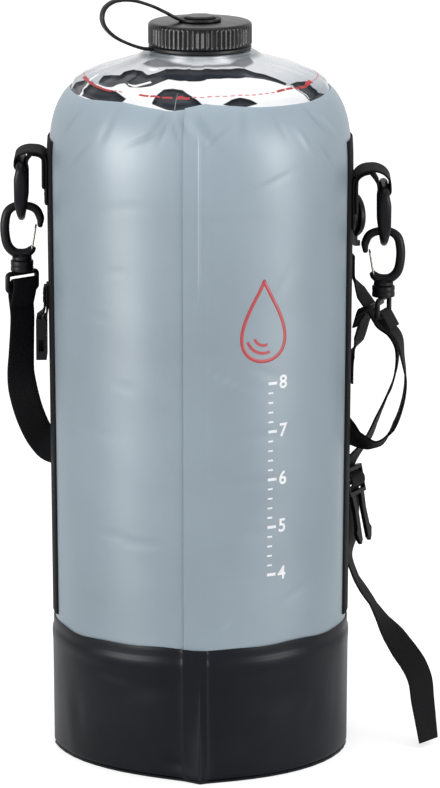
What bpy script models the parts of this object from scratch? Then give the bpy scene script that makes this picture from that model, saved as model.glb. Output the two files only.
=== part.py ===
"""Camp shower bag, modelled piece by piece for Blender 4.5.

Metres, +Z up. The origin is on the bag's axis at the floor, and the front of the bag looks along -Y.
Each object is one piece of the real bag. Moving pieces hang under an empty that sits on their joint.
"""

import math

import bmesh
import bpy
import numpy as np
from mathutils import Vector

# Clearances
GAP = 0.0003
CUT_OVER = 0.002
FUSE = 0.0004

# Bag body
BODY_R = 0.1011
BODY_FOOT_R = 0.0980
SHOULDER_Z = 0.395
SHOULDER_H = 0.075
SHOULDER_FLAT = 4.0
SHOULDER_ROUND = 3.45
FABRIC = 0.0010
WALL_BEND_DEGS = (4.0, 9.0, 16.0, 23.0, 30.0, 36.0, 41.3)
DOME_BEND_DEGS = (36.0, 41.3, 48.0, 55.0, 62.0, 69.0, 76.0)
SEAM_SHIFT = 0.011
LAP_W = 0.015
LAP_STEP = (FABRIC + GAP) / 2
LAP_BLEND_DEG = 2.0
RING_STEP_DEG = 7.5
RING_CLEAR_DEG = 1.2

# Black base
BAND_H = 0.0925
BAND_T = 0.0015
BAND_LAP = 0.012
FLAP_RISE = 0.0008
FLOOR_T = 0.0016
FLOOR_FLANGE = 0.010
FRONT_TIP_SHARE = 0.02
LEFT_DIP_SHARE = 0.11
RIGHT_DIP_SHARE = 0.05
TIP_POWER = 8
DIP_POWER = 0.6
DIP_SCALE = 2.88
BAND_ROW_SHARES = (0.25, 0.5)

# Side strips
STRIP_W = 0.050
STRIP_T = 0.0012
STRIP_RISE = 0.0045
STRIP_LOW_Z = BAND_H + STRIP_RISE
STRIP_TOP_DEG = 9.0

# Filling neck, with its heights above the shoulder and above the collar
COLLAR_R = 0.033
COLLAR_RISE = 0.0094
COLLAR_CLEAR = 0.0042
COLLAR_TOP_Z = SHOULDER_Z + SHOULDER_H + COLLAR_RISE
NECK_R = 0.0295
NECK_BORE_R = 0.0265
NECK_RISE = 0.0123
NECK_TOP_Z = COLLAR_TOP_Z + NECK_RISE
FLANGE_R = 0.043
FLANGE_T = 0.0016
THREAD_PITCH = 0.0045
THREAD_ROOT_W = 0.0018
THREAD_TIP_W = 0.0009
THREAD_DEPTH = 0.0015
THREAD_TURNS = 1.25
THREAD_STEPS = 36
THREAD_FADE_STEPS = 4
THREAD_RISE = 0.0048
THREAD_START_Z = COLLAR_TOP_Z + THREAD_RISE

# Cap, seal, button and tether
CAP_R = 0.0346
CAP_INNER_R = 0.0314
CAP_RISE = 0.0187
CAP_TOP_Z = COLLAR_TOP_Z + CAP_RISE
CAP_RIM_T = 0.0040
CAP_MIDDLE_T = 0.0017
CAP_CHAMFER = 0.0017
CAP_RIBS = 48
RIB_DEPTH = 0.0005
RECESS_CLEAR = 0.0030
SEAL_T = 0.0018
BUTTON_HEAD_R = 0.0115
BUTTON_HEAD_T = 0.0015
BUTTON_SHANK_R = 0.0060
BUTTON_COLLAR_R = 0.0090
TETHER_RING_T = 0.0030
TETHER_EYE_R = 0.0142
TETHER_EYE_T = 0.0017
TETHER_W = 0.0060
TETHER_T = 0.0015
TETHER_TURN_DEG = 22.0
TETHER_REACH = 0.0696
TETHER_EYE_SHARES = (0.60, 0.95)
TETHER_RISE = 0.0340
TETHER_OUT_SHARES = (0.35, 0.50, 0.70, 0.87, 0.97, 1.0, 0.97, 0.87, 0.72, 0.58)
TETHER_UP_SHARES = (0.70, 0.85, 0.98, 0.98, 0.86, 0.67, 0.48, 0.28, 0.12, 0.02)

# Webbing of the carrying straps
WEB_T = 0.0014
WEB_W = 0.020

# Side loops, one value for the left and one for the right
LOOP_W = 0.034
LOOP_BAR_RISE = (0.0086, -0.0088)
LOOP_REACH = (0.0159, 0.0196)
LOOP_RISE = (0.0085, 0.0133)
LOOP_LEG = 0.027
LOOP_TAIL = 0.016

# D-rings
RING_BAR_R = 0.0030
RING_INNER_W = 0.039
RING_SIDE_T = 0.0050
RING_SIDE_DEPTH = 0.0088
RING_DROP = 0.0368
RING_BOW_R = 0.0026
RING_BOW_T = 0.0064
RING_SIDE_SPAN_SHARES = (0.0583, 0.2250)
RING_BOW_SPAN_SHARES = (0.50, 1.0)
RING_END_SPAN_SHARES = (1.0, 0.6667)

# Snap hooks, outline as shares of width, height and tube
HOOK_H = 0.0395
HOOK_W = 0.0290
HOOK_TUBE = 0.0064
HOOK_OUT_SHARES = (-0.42, -0.427, -0.43, -0.33, -0.13, 0.12, 0.31, 0.385, 0.385, 0.32,
                   0.17, 0.0, -0.14, -0.225, -0.27)
HOOK_UP_SHARES = (0.555, 0.62, 0.72, 0.865, 0.928, 0.928, 0.84, 0.66, 0.43, 0.235,
                  0.125, 0.105, 0.125, 0.175, 0.225)
HOOK_TUBE_SHARES = (0.50, 0.62, 0.86, 0.90, 0.86, 0.86, 0.94, 1.0, 1.0, 1.0,
                    1.0, 1.0, 1.0, 0.88, 0.62)
HOOK_CROWN = 4
HOOK_BASE_R = 0.0066
HOOK_BASE_H = 0.0022
GATE_PIVOT_SHARES = (-0.235, 0.187)
GATE_TOP_SHARES = (-0.325, 0.590)
GATE_WIRE = 0.0014
GATE_SPREAD = 0.0082

# Swivels
SWIVEL_R = 0.0077
SWIVEL_H = 0.0075
SWIVEL_EDGE = 0.0008
SHANK_R = 0.0026
SHANK_HEAD_R = 0.0043
SHANK_HEAD_T = 0.0020
SWIVEL_ROOF = 0.0033
EYE_BAR_R = 0.0017
EYE_DROP = 0.0205
EYE_TOP = 0.0090
EYE_TURN_DEG = (40.0, 70.0)

# Straps. Each place is an angle round the bag, a stand-off from the wall as a share of WEB_W, and a height as
# a share of the height at which the two swivels carry the shoulder strap. The width shares are a direction.
FOLD_TIP_SHARES = (0.85, 0.55)
SHOULDER_DEGS = (
    177.09, 175.86, 175.64, 175.42, 174.15, 170.50, 163.50, 153.09, 137.42, 116.09, 90.00, 63.68,
    41.95, 27.30, 16.17, 8.70, 3.88, 1.19, 0.22, 0.00, 0.00, 0.00, 0.00,
)
SHOULDER_OFF_SHARES = (
    0.965, 0.939, 0.976, 1.014, 0.960, 0.833, 0.711, 0.605, 0.516, 0.430, 0.361, 0.384,
    0.391, 0.309, 0.280, 0.361, 0.616, 1.085, 1.544, 1.841, 1.925, 1.819, 1.651,
)
SHOULDER_UP_SHARES = (
    0.9719, 0.9233, 0.8780, 0.8342, 0.7905, 0.7387, 0.6901, 0.6544, 0.6285, 0.6091, 0.5993, 0.6123,
    0.6447, 0.6739, 0.6901, 0.6901, 0.6836, 0.6852, 0.7208, 0.7759, 0.8277, 0.8747, 0.9233,
)
SHOULDER_WIDTH_SHARES = (
    (0.77, 0.64, 0.0), (0.80, 0.60, 0.0), (0.84, 0.54, 0.0), (0.90, 0.42, 0.0),
    (0.95, 0.20, -0.15), (0.80, 0.15, -0.45), (0.50, 0.05, -0.85), (0.15, 0.0, -1.0),
    (0.0, 0.0, -1.0), (0.0, 0.0, -1.0), (0.0, 0.0, -1.0), (0.0, 0.0, -1.0),
    (0.0, 0.0, -1.0), (0.0, 0.0, -1.0), (0.0, 0.15, -1.0), (0.10, 0.40, -0.90),
    (0.20, 0.70, -0.65), (0.15, 0.95, -0.30), (0.0, 1.0, 0.0), (0.0, 1.0, 0.0),
    (0.0, 1.0, 0.0), (0.10, 1.0, 0.0), (0.25, 0.97, 0.0),
)

# Adjusting strap from its anchor to the buckle, and its tail
ANCHOR_DEG = 8.0
ADJUST_ANCHOR_SHARES = (1.0992, 1.0732, 1.0472)
ADJUST_DEGS = (7.85, 7.38, 5.64, 3.59, 2.62, 2.84, 4.66, 6.83, 9.89, 12.65, 15.84, 19.30)
ADJUST_OFF_SHARES = (0.453, 0.803, 1.102, 1.441, 1.631, 1.637, 1.534, 1.380, 1.189, 1.015, 0.853, 0.653)
ADJUST_UP_SHARES = (
    1.0116, 0.9784, 0.9444, 0.9233, 0.8958, 0.8553, 0.8145, 0.7821, 0.7398, 0.6991, 0.6635, 0.6342,
)
ADJUST_WIDTH_SHARES = (
    (0.25, 0.93, 0.18), (0.25, 0.93, 0.18), (0.22, 0.95, 0.12), (0.15, 1.0, 0.05),
    (0.12, 1.0, 0.0), (0.10, 1.0, 0.0), (0.08, 1.0, 0.0), (0.12, 1.0, 0.0),
    (0.20, 0.98, 0.0), (0.25, 0.97, 0.0), (0.37, 0.93, 0.0), (0.45, 0.89, 0.0),
)
TAIL_DEGS = (20.50, 19.62, 15.51, 12.75, 10.46, 8.29, 6.12, 3.96, 1.59, 0.00, -1.15, -2.26, -2.79)
TAIL_OFF_SHARES = (0.605, 0.472, 0.538, 0.787, 1.052, 1.377, 1.706, 2.032, 2.361, 2.579, 2.672, 2.783, 2.892)
TAIL_UP_SHARES = (
    0.4438, 0.4017, 0.3628, 0.3305, 0.3029, 0.2673, 0.2365, 0.2057, 0.1766, 0.1442, 0.1004, 0.0567, 0.0121,
)
TAIL_WIDTH_SHARES = (
    (0.38, 0.92, 0.0), (0.15, 1.0, 0.0), (0.10, 1.0, 0.0), (0.10, 1.0, 0.10),
    (0.05, 1.0, 0.10), (0.20, 0.95, 0.25), (0.45, 0.75, 0.40), (0.60, 0.60, 0.40),
    (0.72, 0.55, 0.30), (0.80, 0.55, 0.10), (0.80, 0.60, 0.0), (0.72, 0.69, 0.0),
    (0.65, 0.76, 0.0),
)

# Keeper ring and keeper strap. The ring is at one station of the adjusting strap.
KEEPER_STATION = 1
KEEPER_WIRE_R = 0.0015
KEEPER_HALF_H = 0.0045
KEEPER_HALF_W = 0.0120
KEEPER_ANCHOR_SHARES = (0.8130, 0.8423, 0.8716)
KEEPER_TAIL = 0.012
KEEPER_PULL_SHARE = 0.35
KEEPER_LEAVE_SHARES = (2.2, 0.55)
KEEPER_BACK_SHARES = (1.2, 0.98)
KEEPER_TIP_SHARE = 0.75

# Side-release buckle
BUCKLE_W = 0.024
BUCKLE_T = 0.0035
BUCKLE_BAR = 0.0032
BUCKLE_SLOT = 0.0054
BUCKLE_FRAME = 0.0026
BUCKLE_DEG = 19.88
BUCKLE_OFF_SHARE = 0.621
BUCKLE_UP_SHARE = 0.5710
BUCKLE_TURN_DEG = 63.0
BUCKLE_LEAN_DEG = 11.0
WEAVE_DOWN_SHARES = (1.9, 0.95, 0.57)
WEAVE_OUT_SHARE = 0.75
PRONG_L = 0.034
PRONG_W = 0.0050
PRONG_SPAN = 0.0190
PRONG_BARB = 0.0022
SOCKET_CLEAR = 0.0004
FEMALE_L = 0.021
FEMALE_WALL = 0.0014
FEMALE_BAR_R = 0.0014
FEMALE_BAR_SHARE = 0.9642
FEMALE_OUT = 0.0048
TAB_W = 0.016
TAB_LEG = 0.022
TAB_CROSS_SHARES = (1.6, 2.6)

# Air valve, on the right wall towards the back
VALVE_DEG = 25.5
VALVE_DROP = 0.0365
VALVE_FLANGE_R = 0.0158
VALVE_FLANGE_H = 0.0030
VALVE_BARREL_R = 0.0125
VALVE_H = 0.0125
VALVE_BORE_R = 0.0080
VALVE_TAIL_R = 0.0105
VALVE_TAIL_H = 0.0060
VALVE_SEAT_H = 0.0023
VALVE_DISC_R = 0.0090
VALVE_DISC_T = 0.0010
VALVE_DISC_TRAVEL = 0.0012
VALVE_LIP_R = 0.0082
VALVE_CAP_R = 0.0153
VALVE_CAP_T = 0.0038
VALVE_PLUG_R = 0.0076
VALVE_PLUG_L = 0.0040
VALVE_PLUG_WALL = 0.0014
HINGE_DROP = 0.0190
HINGE_R = 0.0019
HINGE_PIN_R = 0.0009
HINGE_W = 0.0080
EAR_T = 0.0024
EAR_FOOT_SHARE = 0.8
EAR_BEND_SHARES = (1.5, 0.9)
LID_EDGE_SHARE = 0.6
ARM_REACH_SHARE = 0.7

# Outlet, low on the back wall
OUTLET_DEG = 71.0
OUTLET_RISE = 0.0255
OUTLET_FLANGE_R = 0.0150
OUTLET_FLANGE_H = 0.0024
OUTLET_R = 0.0058
OUTLET_L = 0.0200
OUTLET_BORE_R = 0.0038
OUTLET_TAIL_R = 0.0080
OUTLET_TAIL_L = 0.0040
OUTLET_CAP_R = 0.0080
OUTLET_CAP_L = 0.0150
OUTLET_CAP_ROOF = 0.0020
BARB_SHARES = (0.80, 0.78)

LEFT, RIGHT = 0, 1
SIDE_SIGN = (-1.0, 1.0)
SIDE_NAME = ("left", "right")
FRONT_DEG = -90.0
BACK_DEG = 90.0

# Stands for a height that follows the bag's wall, in the outline of a turned piece
SEATED = None


# Building blocks

def clear_scene():
    """Remove every object, so that the file holds only the bag."""
    for obj in list(bpy.data.objects):
        bpy.data.objects.remove(obj, do_unlink=True)


def material(name, colour, roughness, metallic=0.0, alpha=1.0):
    mat = bpy.data.materials.new(name)
    mat.use_nodes = True
    shader = mat.node_tree.nodes["Principled BSDF"]
    shader.inputs["Base Color"].default_value = (*colour, 1.0)
    shader.inputs["Roughness"].default_value = roughness
    shader.inputs["Metallic"].default_value = metallic
    shader.inputs["Alpha"].default_value = alpha
    return mat


def piece(name, points, faces, mat, smooth_deg=35.0):
    """Make an object from points and faces, turned so that its faces point out."""
    mesh = bpy.data.meshes.new(name)
    mesh.from_pydata([tuple(p) for p in points], [], faces)
    form = bmesh.new()
    form.from_mesh(mesh)
    bmesh.ops.recalc_face_normals(form, faces=form.faces)
    if form.calc_volume(signed=True) < 0.0:
        bmesh.ops.reverse_faces(form, faces=form.faces)
    form.to_mesh(mesh)
    form.free()
    mesh.shade_smooth()
    mesh.set_sharp_from_angle(angle=math.radians(smooth_deg))
    mesh.materials.append(mat)
    obj = bpy.data.objects.new(name, mesh)
    bpy.context.scene.collection.objects.link(obj)
    return obj


def helper(obj):
    """Mark an object as a cutter or an operand that isn't a piece by itself."""
    obj.hide_render = True
    obj.display_type = "WIRE"
    return obj


def combine(target, other, operation):
    """Join or cut target with a helper object by an exact Boolean."""
    step = target.modifiers.new(operation.lower() + "_" + other.name, "BOOLEAN")
    step.operation = operation
    step.solver = "EXACT"
    step.object = helper(other)
    return target


def joint_empty(name, place, children):
    """Put an empty on a joint and hang the pieces that move with it under it."""
    empty = bpy.data.objects.new(name, None)
    empty.location = Vector(place)
    bpy.context.scene.collection.objects.link(empty)
    for child in children:
        child.parent = empty
        child.matrix_parent_inverse.translation = -Vector(place)
    return empty


def grid_faces(rows, columns, wrap_rows, wrap_columns):
    faces = []
    for i in range(rows if wrap_rows else rows - 1):
        for j in range(columns if wrap_columns else columns - 1):
            a = i * columns + j
            b = i * columns + (j + 1) % columns
            k = ((i + 1) % rows) * columns
            faces.append((a, b, k + (j + 1) % columns, k + j))
    return faces


def tube(name, rings, mat, closed=False, smooth_deg=35.0):
    """Skin rings of points, an array (rings, points, 3), with flat ends unless the path is closed."""
    rows, columns = rings.shape[:2]
    faces = grid_faces(rows, columns, closed, True)
    if not closed:
        faces.append(tuple(range(columns)))
        faces.append(tuple((rows - 1) * columns + j for j in range(columns)))
    return piece(name, rings.reshape(-1, 3), faces, mat, smooth_deg)


def thick_sheet(name, outer, inner, mat, wrap):
    """Join an outer and an inner grid (rows, columns, 3) along their borders into one closed sheet."""
    rows, columns = outer.shape[:2]
    count = rows * columns
    faces = grid_faces(rows, columns, False, wrap)
    faces += [tuple(v + count for v in reversed(f)) for f in grid_faces(rows, columns, False, wrap)]
    for j in range(columns if wrap else columns - 1):
        k = (j + 1) % columns
        top = (rows - 1) * columns
        faces.append((j, count + j, count + k, k))
        faces.append((top + j, top + k, count + top + k, count + top + j))
    if not wrap:
        for i in range(rows - 1):
            a, b = i * columns, (i + 1) * columns
            last = columns - 1
            faces.append((a, b, count + b, count + a))
            faces.append((a + last, count + a + last, count + b + last, b + last))
    return piece(name, np.concatenate([outer.reshape(-1, 3), inner.reshape(-1, 3)]), faces, mat)


def turned(name, outline, segments, mat, frame=None, waves=None, start_deg=0.0):
    """Turn an outline of (radius, height) points about an axis. Points on the axis become poles.

    frame is (origin, axis, side direction); waves(radius, height, step) may change a radius. A height of
    SEATED follows the bag's wall, so that a flange fits it.
    """
    origin, axis, side = frame or ((0.0, 0.0, 0.0), (0.0, 0.0, 1.0), (1.0, 0.0, 0.0))
    origin, axis, side = (np.array(v, float) for v in (origin, axis, side))
    across = np.cross(axis, side)
    points, rows = [], []
    for radius, height in outline:
        if radius <= 0.0:
            rows.append([len(points)])
            points.append(origin + axis * height)
            continue
        rows.append(list(range(len(points), len(points) + segments)))
        for k in range(segments):
            turn = 2.0 * math.pi * k / segments + math.radians(start_deg)
            reach = waves(radius, height, k) if waves else radius
            rim = reach * (math.cos(turn) * side + math.sin(turn) * across)
            level = wall_height(origin, rim, side) if height is SEATED else height
            points.append(origin + axis * level + rim)
    faces = []
    loops = list(zip(rows, rows[1:] + rows[:1]))
    for low, high in loops:
        for k in range(segments):
            corners = ((low, k), (low, k + 1), (high, k + 1), (high, k))
            face = list(dict.fromkeys(row[n % len(row)] for row, n in corners))
            if len(face) > 2:
                faces.append(tuple(face))
    return piece(name, points, faces, mat)


def pin(name, radius, half, segments, mat, frame):
    """A plain round pin or hole, half a length to each side of the frame's origin."""
    return turned(name, ((0.0, half), (radius, half), (radius, -half), (0.0, -half)), segments, mat, frame)


def smooth_path(points, steps):
    """A smooth curve through points, with steps places on each span and slopes that suit each span's length."""
    p = np.array(points, float)
    p = np.concatenate([2.0 * p[:1] - p[1:2], p, 2.0 * p[-1:] - p[-2:-1]])
    span = np.linalg.norm(np.diff(p, axis=0), axis=1)[:, None]
    slope = (p[2:] - p[:-2]) / (span[1:] + span[:-1])
    t = np.linspace(0.0, 1.0, steps, endpoint=False)[:, None]
    keep, lean = 1.0 - t * t * (3.0 - 2.0 * t), t * (1.0 - t)
    out = []
    for i in range(1, len(p) - 2):
        reach = span[i]
        out.append(p[i] * keep + p[i + 1] * (1.0 - keep)
                   + lean * (1.0 - t) * slope[i - 1] * reach - lean * t * slope[i] * reach)
    return np.concatenate(out + [p[-2:-1]])


def blended(values, steps):
    """Values spread evenly over the same places as smooth_path gives."""
    values = np.array(values, float)
    spots = np.linspace(0.0, len(values) - 1.0, (len(values) - 1) * steps + 1)
    flat = values.reshape(len(values), -1)
    return np.stack([np.interp(spots, range(len(values)), column) for column in flat.T], axis=-1)


def unit(v):
    v = np.asarray(v, float)
    return v / np.linalg.norm(v, axis=-1, keepdims=True)


def directions(path, closed=False):
    """The way a path runs at each of its points."""
    if closed:
        return unit(np.roll(path, -1, axis=0) - np.roll(path, 1, axis=0))
    ends = np.concatenate([path[:1], path, path[-1:]])
    return unit(ends[2:] - ends[:-2])


def ribbon(name, path, widths, width, thickness, mat, cup=None):
    """A flat strap along a path, with the way its width lies at each point.

    cup is how far its edges bend back from its middle at each point, for a strap sewn to the round wall.
    """
    along = directions(path)
    across = unit(widths - (widths * along).sum(-1, keepdims=True) * along)
    face = np.cross(along, across)
    half_w, half_t = width / 2, thickness / 2
    line = (1.0, -1.0) if cup is None else (1.0, 0.5, 0.0, -0.5, -1.0)
    bend = np.zeros((len(path), 1)) if cup is None else np.asarray(cup)[:, None]
    corners = [(u, 1.0) for u in line] + [(u, -1.0) for u in reversed(line)]
    rings = [path + across * (u * half_w) + face * (v * half_t - bend * u * u) for u, v in corners]
    return tube(name, np.stack(rings, axis=1), mat)


def round_bar(name, path, sides, half_a, half_b, normal, mat, closed=False):
    """A bar of oval section along a flat path: half_a lies along the plane's normal and half_b in the plane."""
    along = directions(path, closed)
    normal = np.broadcast_to(np.asarray(normal, float), along.shape)
    inward = np.cross(normal, along)
    half_a = np.broadcast_to(np.asarray(half_a, float), len(path))[:, None]
    half_b = np.broadcast_to(np.asarray(half_b, float), len(path))[:, None]
    turns = [2.0 * math.pi * (k + 0.5) / sides for k in range(sides)]
    rings = [path + normal * half_a * math.cos(t) + inward * half_b * math.sin(t) for t in turns]
    return tube(name, np.stack(rings, axis=1), mat, closed)


def block(name, middle, axes, halves, mat):
    """A box from its middle, its three directions and its half sizes."""
    middle, axes = np.array(middle, float), np.array(axes, float)
    signs = [(x, y, z) for x in (-1, 1) for y in (-1, 1) for z in (-1, 1)]
    points = [middle + (np.array(sign) * halves) @ axes for sign in signs]
    faces = [(0, 1, 3, 2), (4, 6, 7, 5), (0, 4, 5, 1), (2, 3, 7, 6), (0, 2, 6, 4), (1, 5, 7, 3)]
    return piece(name, points, faces, mat)


# Surface of the bag

def body_radius(z):
    """Radius of the straight part of the wall, which widens slightly upwards."""
    return BODY_FOOT_R + (BODY_R - BODY_FOOT_R) * z / SHOULDER_Z


def shoulder_deg(radius):
    """Angle over the shoulder at which the body has a radius."""
    return math.degrees(math.acos((radius / BODY_R) ** (SHOULDER_FLAT / 2.0)))


def shoulder_height(radius):
    """Height of the shoulder at a radius."""
    rise = math.sin(math.radians(shoulder_deg(radius))) ** (2.0 / SHOULDER_ROUND)
    return SHOULDER_Z + SHOULDER_H * rise


def profile(rows):
    """Radius, height and outward normal of the wall at each row.

    A row is a height as a share of SHOULDER_Z up to 1, then 1 plus an angle over the shoulder in degrees.
    """
    def at(row):
        if row <= 1.0:
            return body_radius(row * SHOULDER_Z), row * SHOULDER_Z
        turn = math.radians(row - 1.0)
        return (BODY_R * math.cos(turn) ** (2.0 / SHOULDER_FLAT),
                SHOULDER_Z + SHOULDER_H * math.sin(turn) ** (2.0 / SHOULDER_ROUND))

    out = []
    for row in rows:
        nudge = 1.0 / 64 if row <= 1.0 else 1.0 / 4
        below = row - nudge if row > 1.0 + nudge else min(row, 1.0) - nudge / 2
        (r0, z0), (r1, z1) = at(below), at(row + nudge)
        run = math.hypot(r1 - r0, z1 - z0)
        r, z = at(row)
        out.append((r, z, (z1 - z0) / run, -(r1 - r0) / run))
    return np.array(out)


def row_at(z):
    return z / SHOULDER_Z


def seam_degs():
    """Edges of the lap at the front and at the back: (edge of the upper panel, edge of the lower panel)."""
    upper = math.degrees(math.asin(SEAM_SHIFT / BODY_R))
    lower = math.degrees(math.asin((LAP_W - SEAM_SHIFT) / BODY_R))
    return (FRONT_DEG - upper, FRONT_DEG + lower), (BACK_DEG + upper, BACK_DEG - lower)


def strip_half_deg():
    return math.degrees(math.asin(STRIP_W / 2 / BODY_R))


def stations(start, end):
    """Every angle from start to end that the wall, the band and the strips share."""
    marks = {start, end}
    special = []
    for edges in seam_degs():
        special += [min(edges) - LAP_BLEND_DEG, min(edges), max(edges), max(edges) + LAP_BLEND_DEG]
    for middle in (0.0, 180.0):
        special += [middle - strip_half_deg(), middle + strip_half_deg()]
    count = round(360.0 / RING_STEP_DEG)
    for turn in (-360.0, 0.0, 360.0):
        for k in range(count):
            angle = k * RING_STEP_DEG + turn
            aways = [abs((angle - s + 180.0) % 360.0 - 180.0) for s in special]
            if start < angle < end and min(aways) > RING_CLEAR_DEG:
                marks.add(angle)
        marks |= {s + turn for s in special if start < s + turn < end}
    return np.array(sorted(marks))


def in_lap(deg):
    """1 inside a lap seam, falling to 0 beside it."""
    out = np.zeros_like(deg)
    for edges in seam_degs():
        middle, half = sum(edges) / 2, abs(edges[0] - edges[1]) / 2
        away = np.abs((deg - middle + 180.0) % 360.0 - 180.0) - half
        out = np.maximum(out, np.clip(1.0 - away / LAP_BLEND_DEG, 0.0, 1.0))
    return out


def skin(rows, degs, lift):
    """Points of the bag's surface, moved out by lift, which may vary with the angle."""
    shape = profile(rows)
    lift = np.broadcast_to(lift, degs.shape)
    r = shape[:, 0:1] + shape[:, 2:3] * lift
    z = shape[:, 1:2] + shape[:, 3:4] * lift
    turn = np.radians(degs)
    return np.stack([r * np.cos(turn), r * np.sin(turn), np.broadcast_to(z, r.shape)], axis=-1)


def straight_rows():
    """Rows of the straight wall, from under the black band to the shoulder."""
    return [row_at(BAND_H - BAND_LAP), row_at(BAND_H), row_at(STRIP_LOW_Z), 0.5, 1.0]


def wall_panel(name, start, end, lap_side, mat):
    """Half of the wall. In the laps it steps out or in by half of its thickness and the gap."""
    rows = straight_rows() + [1.0 + bend for bend in WALL_BEND_DEGS]
    degs = stations(start, end)
    step = in_lap(degs) * LAP_STEP * lap_side
    return thick_sheet(name, skin(rows, degs, step), skin(rows, degs, step - FABRIC), mat, False)


def clear_dome(mat):
    """The clear top sheet, which runs under the upper edge of the walls and ends at the neck."""
    rows = [1.0 + bend for bend in DOME_BEND_DEGS] + [1.0 + shoulder_deg(COLLAR_R + COLLAR_CLEAR)]
    degs = stations(-180.0, 180.0)[:-1]
    lift = -(FABRIC + GAP) - in_lap(degs) * LAP_STEP
    return thick_sheet("clear_dome", skin(rows, degs, lift), skin(rows, degs, lift - FABRIC), mat, True)


# Black base

def plan_share(degs, z):
    """How far the foot's outline leaves the circle: a point at the front and back, flats beside it."""
    fade = np.clip(1.0 - z / (BAND_H - BAND_LAP), 0.0, 1.0)
    away = np.abs((degs + 360.0) % 180.0 - 90.0) / 90.0
    leftwards = np.cos(np.radians(degs)) < 0.0
    dip = np.where(leftwards, LEFT_DIP_SHARE, RIGHT_DIP_SHARE)
    flat = DIP_SCALE * away**DIP_POWER * (1.0 - away)
    return 1.0 + fade * (FRONT_TIP_SHARE * (1.0 - away) ** TIP_POWER - dip * flat)


def band_grid(degs, heights, lift):
    """Points of the black band's surface at each height, moved out by lift."""
    rows = []
    turn = np.radians(degs)
    for z in heights:
        r = (body_radius(z) + lift) * plan_share(degs, z)
        rows.append(np.stack([r * np.cos(turn), r * np.sin(turn), np.full_like(r, z)], axis=-1))
    return np.array(rows)


def base_wall(mat):
    """The band, turned in at its foot to lie on the floor disc."""
    degs = stations(-180.0, 180.0)[:-1]
    foot = FLOOR_T + GAP
    inner = GAP + in_lap(degs) * LAP_STEP
    outer = inner + BAND_T + in_lap(degs) * FLAP_RISE
    heights = (foot,) + tuple(BAND_H * share for share in BAND_ROW_SHARES) + (BAND_H - BAND_LAP, BAND_H)
    flange_in = band_grid(degs, (foot, foot + BAND_T), inner - FLOOR_FLANGE)
    outside = band_grid(degs, heights, outer)
    inside = band_grid(degs, (foot + BAND_T,) + heights[1:], inner)
    rings = np.concatenate([outside, inside[::-1], flange_in[::-1]])
    return tube("base_wall", rings, mat, closed=True)


def base_floor(mat):
    """The disc that the bag stands on."""
    degs = stations(-180.0, 180.0)[:-1]
    rim = band_grid(degs, (0.0, FLOOR_T), BAND_T)
    return tube("base_floor", rim, mat)


def side_strip(side, mat):
    """Black band down the side of the bag, under all of the hardware."""
    middle = 180.0 if side == LEFT else 0.0
    degs = stations(middle - strip_half_deg(), middle + strip_half_deg())
    bends = [bend for bend in WALL_BEND_DEGS if bend < STRIP_TOP_DEG] + [STRIP_TOP_DEG]
    rows = straight_rows()[2:] + [1.0 + bend for bend in bends]
    outer = skin(rows, degs, GAP + STRIP_T)
    inner = skin(rows, degs, GAP)
    return thick_sheet("side_strip_" + SIDE_NAME[side], outer, inner, mat, False)


# Filling neck, cap and tether

def thread_ridge(name, wall_r, depth, start_share, mat):
    """A right-handed ridge round the neck, or inside the cap where depth is negative."""
    count = round(THREAD_STEPS * THREAD_TURNS)
    root, tip = wall_r - math.copysign(GAP, depth), wall_r + depth
    rings = []
    for k in range(count + 1):
        turn = 2.0 * math.pi * (k / THREAD_STEPS + start_share)
        z = THREAD_START_Z + THREAD_PITCH * k / THREAD_STEPS
        fade = min(1.0, (k + 0.5) / THREAD_FADE_STEPS, (count - k + 0.5) / THREAD_FADE_STEPS)
        reach = wall_r + (tip - wall_r) * fade
        corners = ((root, -THREAD_ROOT_W / 2), (reach, -THREAD_TIP_W / 2), (reach, THREAD_TIP_W / 2),
                   (root, THREAD_ROOT_W / 2))
        rings.append([(r * math.cos(turn), r * math.sin(turn), z + dz) for r, dz in corners])
    return tube(name, np.array(rings), mat)


def neck_spout(mat):
    """Filling neck with its flange welded under the dome, its collar and its thread."""
    dome_low = shoulder_height(FLANGE_R) - 2 * FABRIC - GAP - LAP_STEP
    flange_z = dome_low - 2 * GAP - FLANGE_T
    outline = (
        (NECK_BORE_R, flange_z), (FLANGE_R, flange_z), (FLANGE_R, flange_z + FLANGE_T),
        (COLLAR_R, flange_z + FLANGE_T), (COLLAR_R, COLLAR_TOP_Z), (NECK_R, COLLAR_TOP_Z),
        (NECK_R, NECK_TOP_Z), (NECK_BORE_R, NECK_TOP_Z),
    )
    spout = turned("neck_spout", outline, 48, mat)
    return combine(spout, thread_ridge("neck_thread", NECK_R, THREAD_DEPTH, 0.0, mat), "UNION")


def cap(mat):
    """Screw cap: ribbed skirt, inner thread, and a recess for the button's collar."""
    skirt_z = COLLAR_TOP_Z + TETHER_RING_T + 2 * GAP
    ceiling_z = CAP_TOP_Z - CAP_RIM_T
    recess_z = CAP_TOP_Z - CAP_MIDDLE_T
    hole_r = BUTTON_SHANK_R + 2 * GAP
    recess_r = BUTTON_COLLAR_R + RECESS_CLEAR
    outline = (
        (hole_r, CAP_TOP_Z), (CAP_R - CAP_CHAMFER, CAP_TOP_Z), (CAP_R, CAP_TOP_Z - CAP_CHAMFER),
        (CAP_R, skirt_z), (CAP_INNER_R, skirt_z), (CAP_INNER_R, ceiling_z),
        (recess_r, ceiling_z), (recess_r, recess_z), (hole_r, recess_z),
    )

    def ribs(radius, height, k):
        return radius - RIB_DEPTH if radius == CAP_R and k % 2 else radius

    lid = turned("cap", outline, 2 * CAP_RIBS, mat, waves=ribs)
    return combine(lid, thread_ridge("cap_thread", CAP_INNER_R, -THREAD_DEPTH + GAP / 2, 0.5, mat), "UNION")


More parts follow.
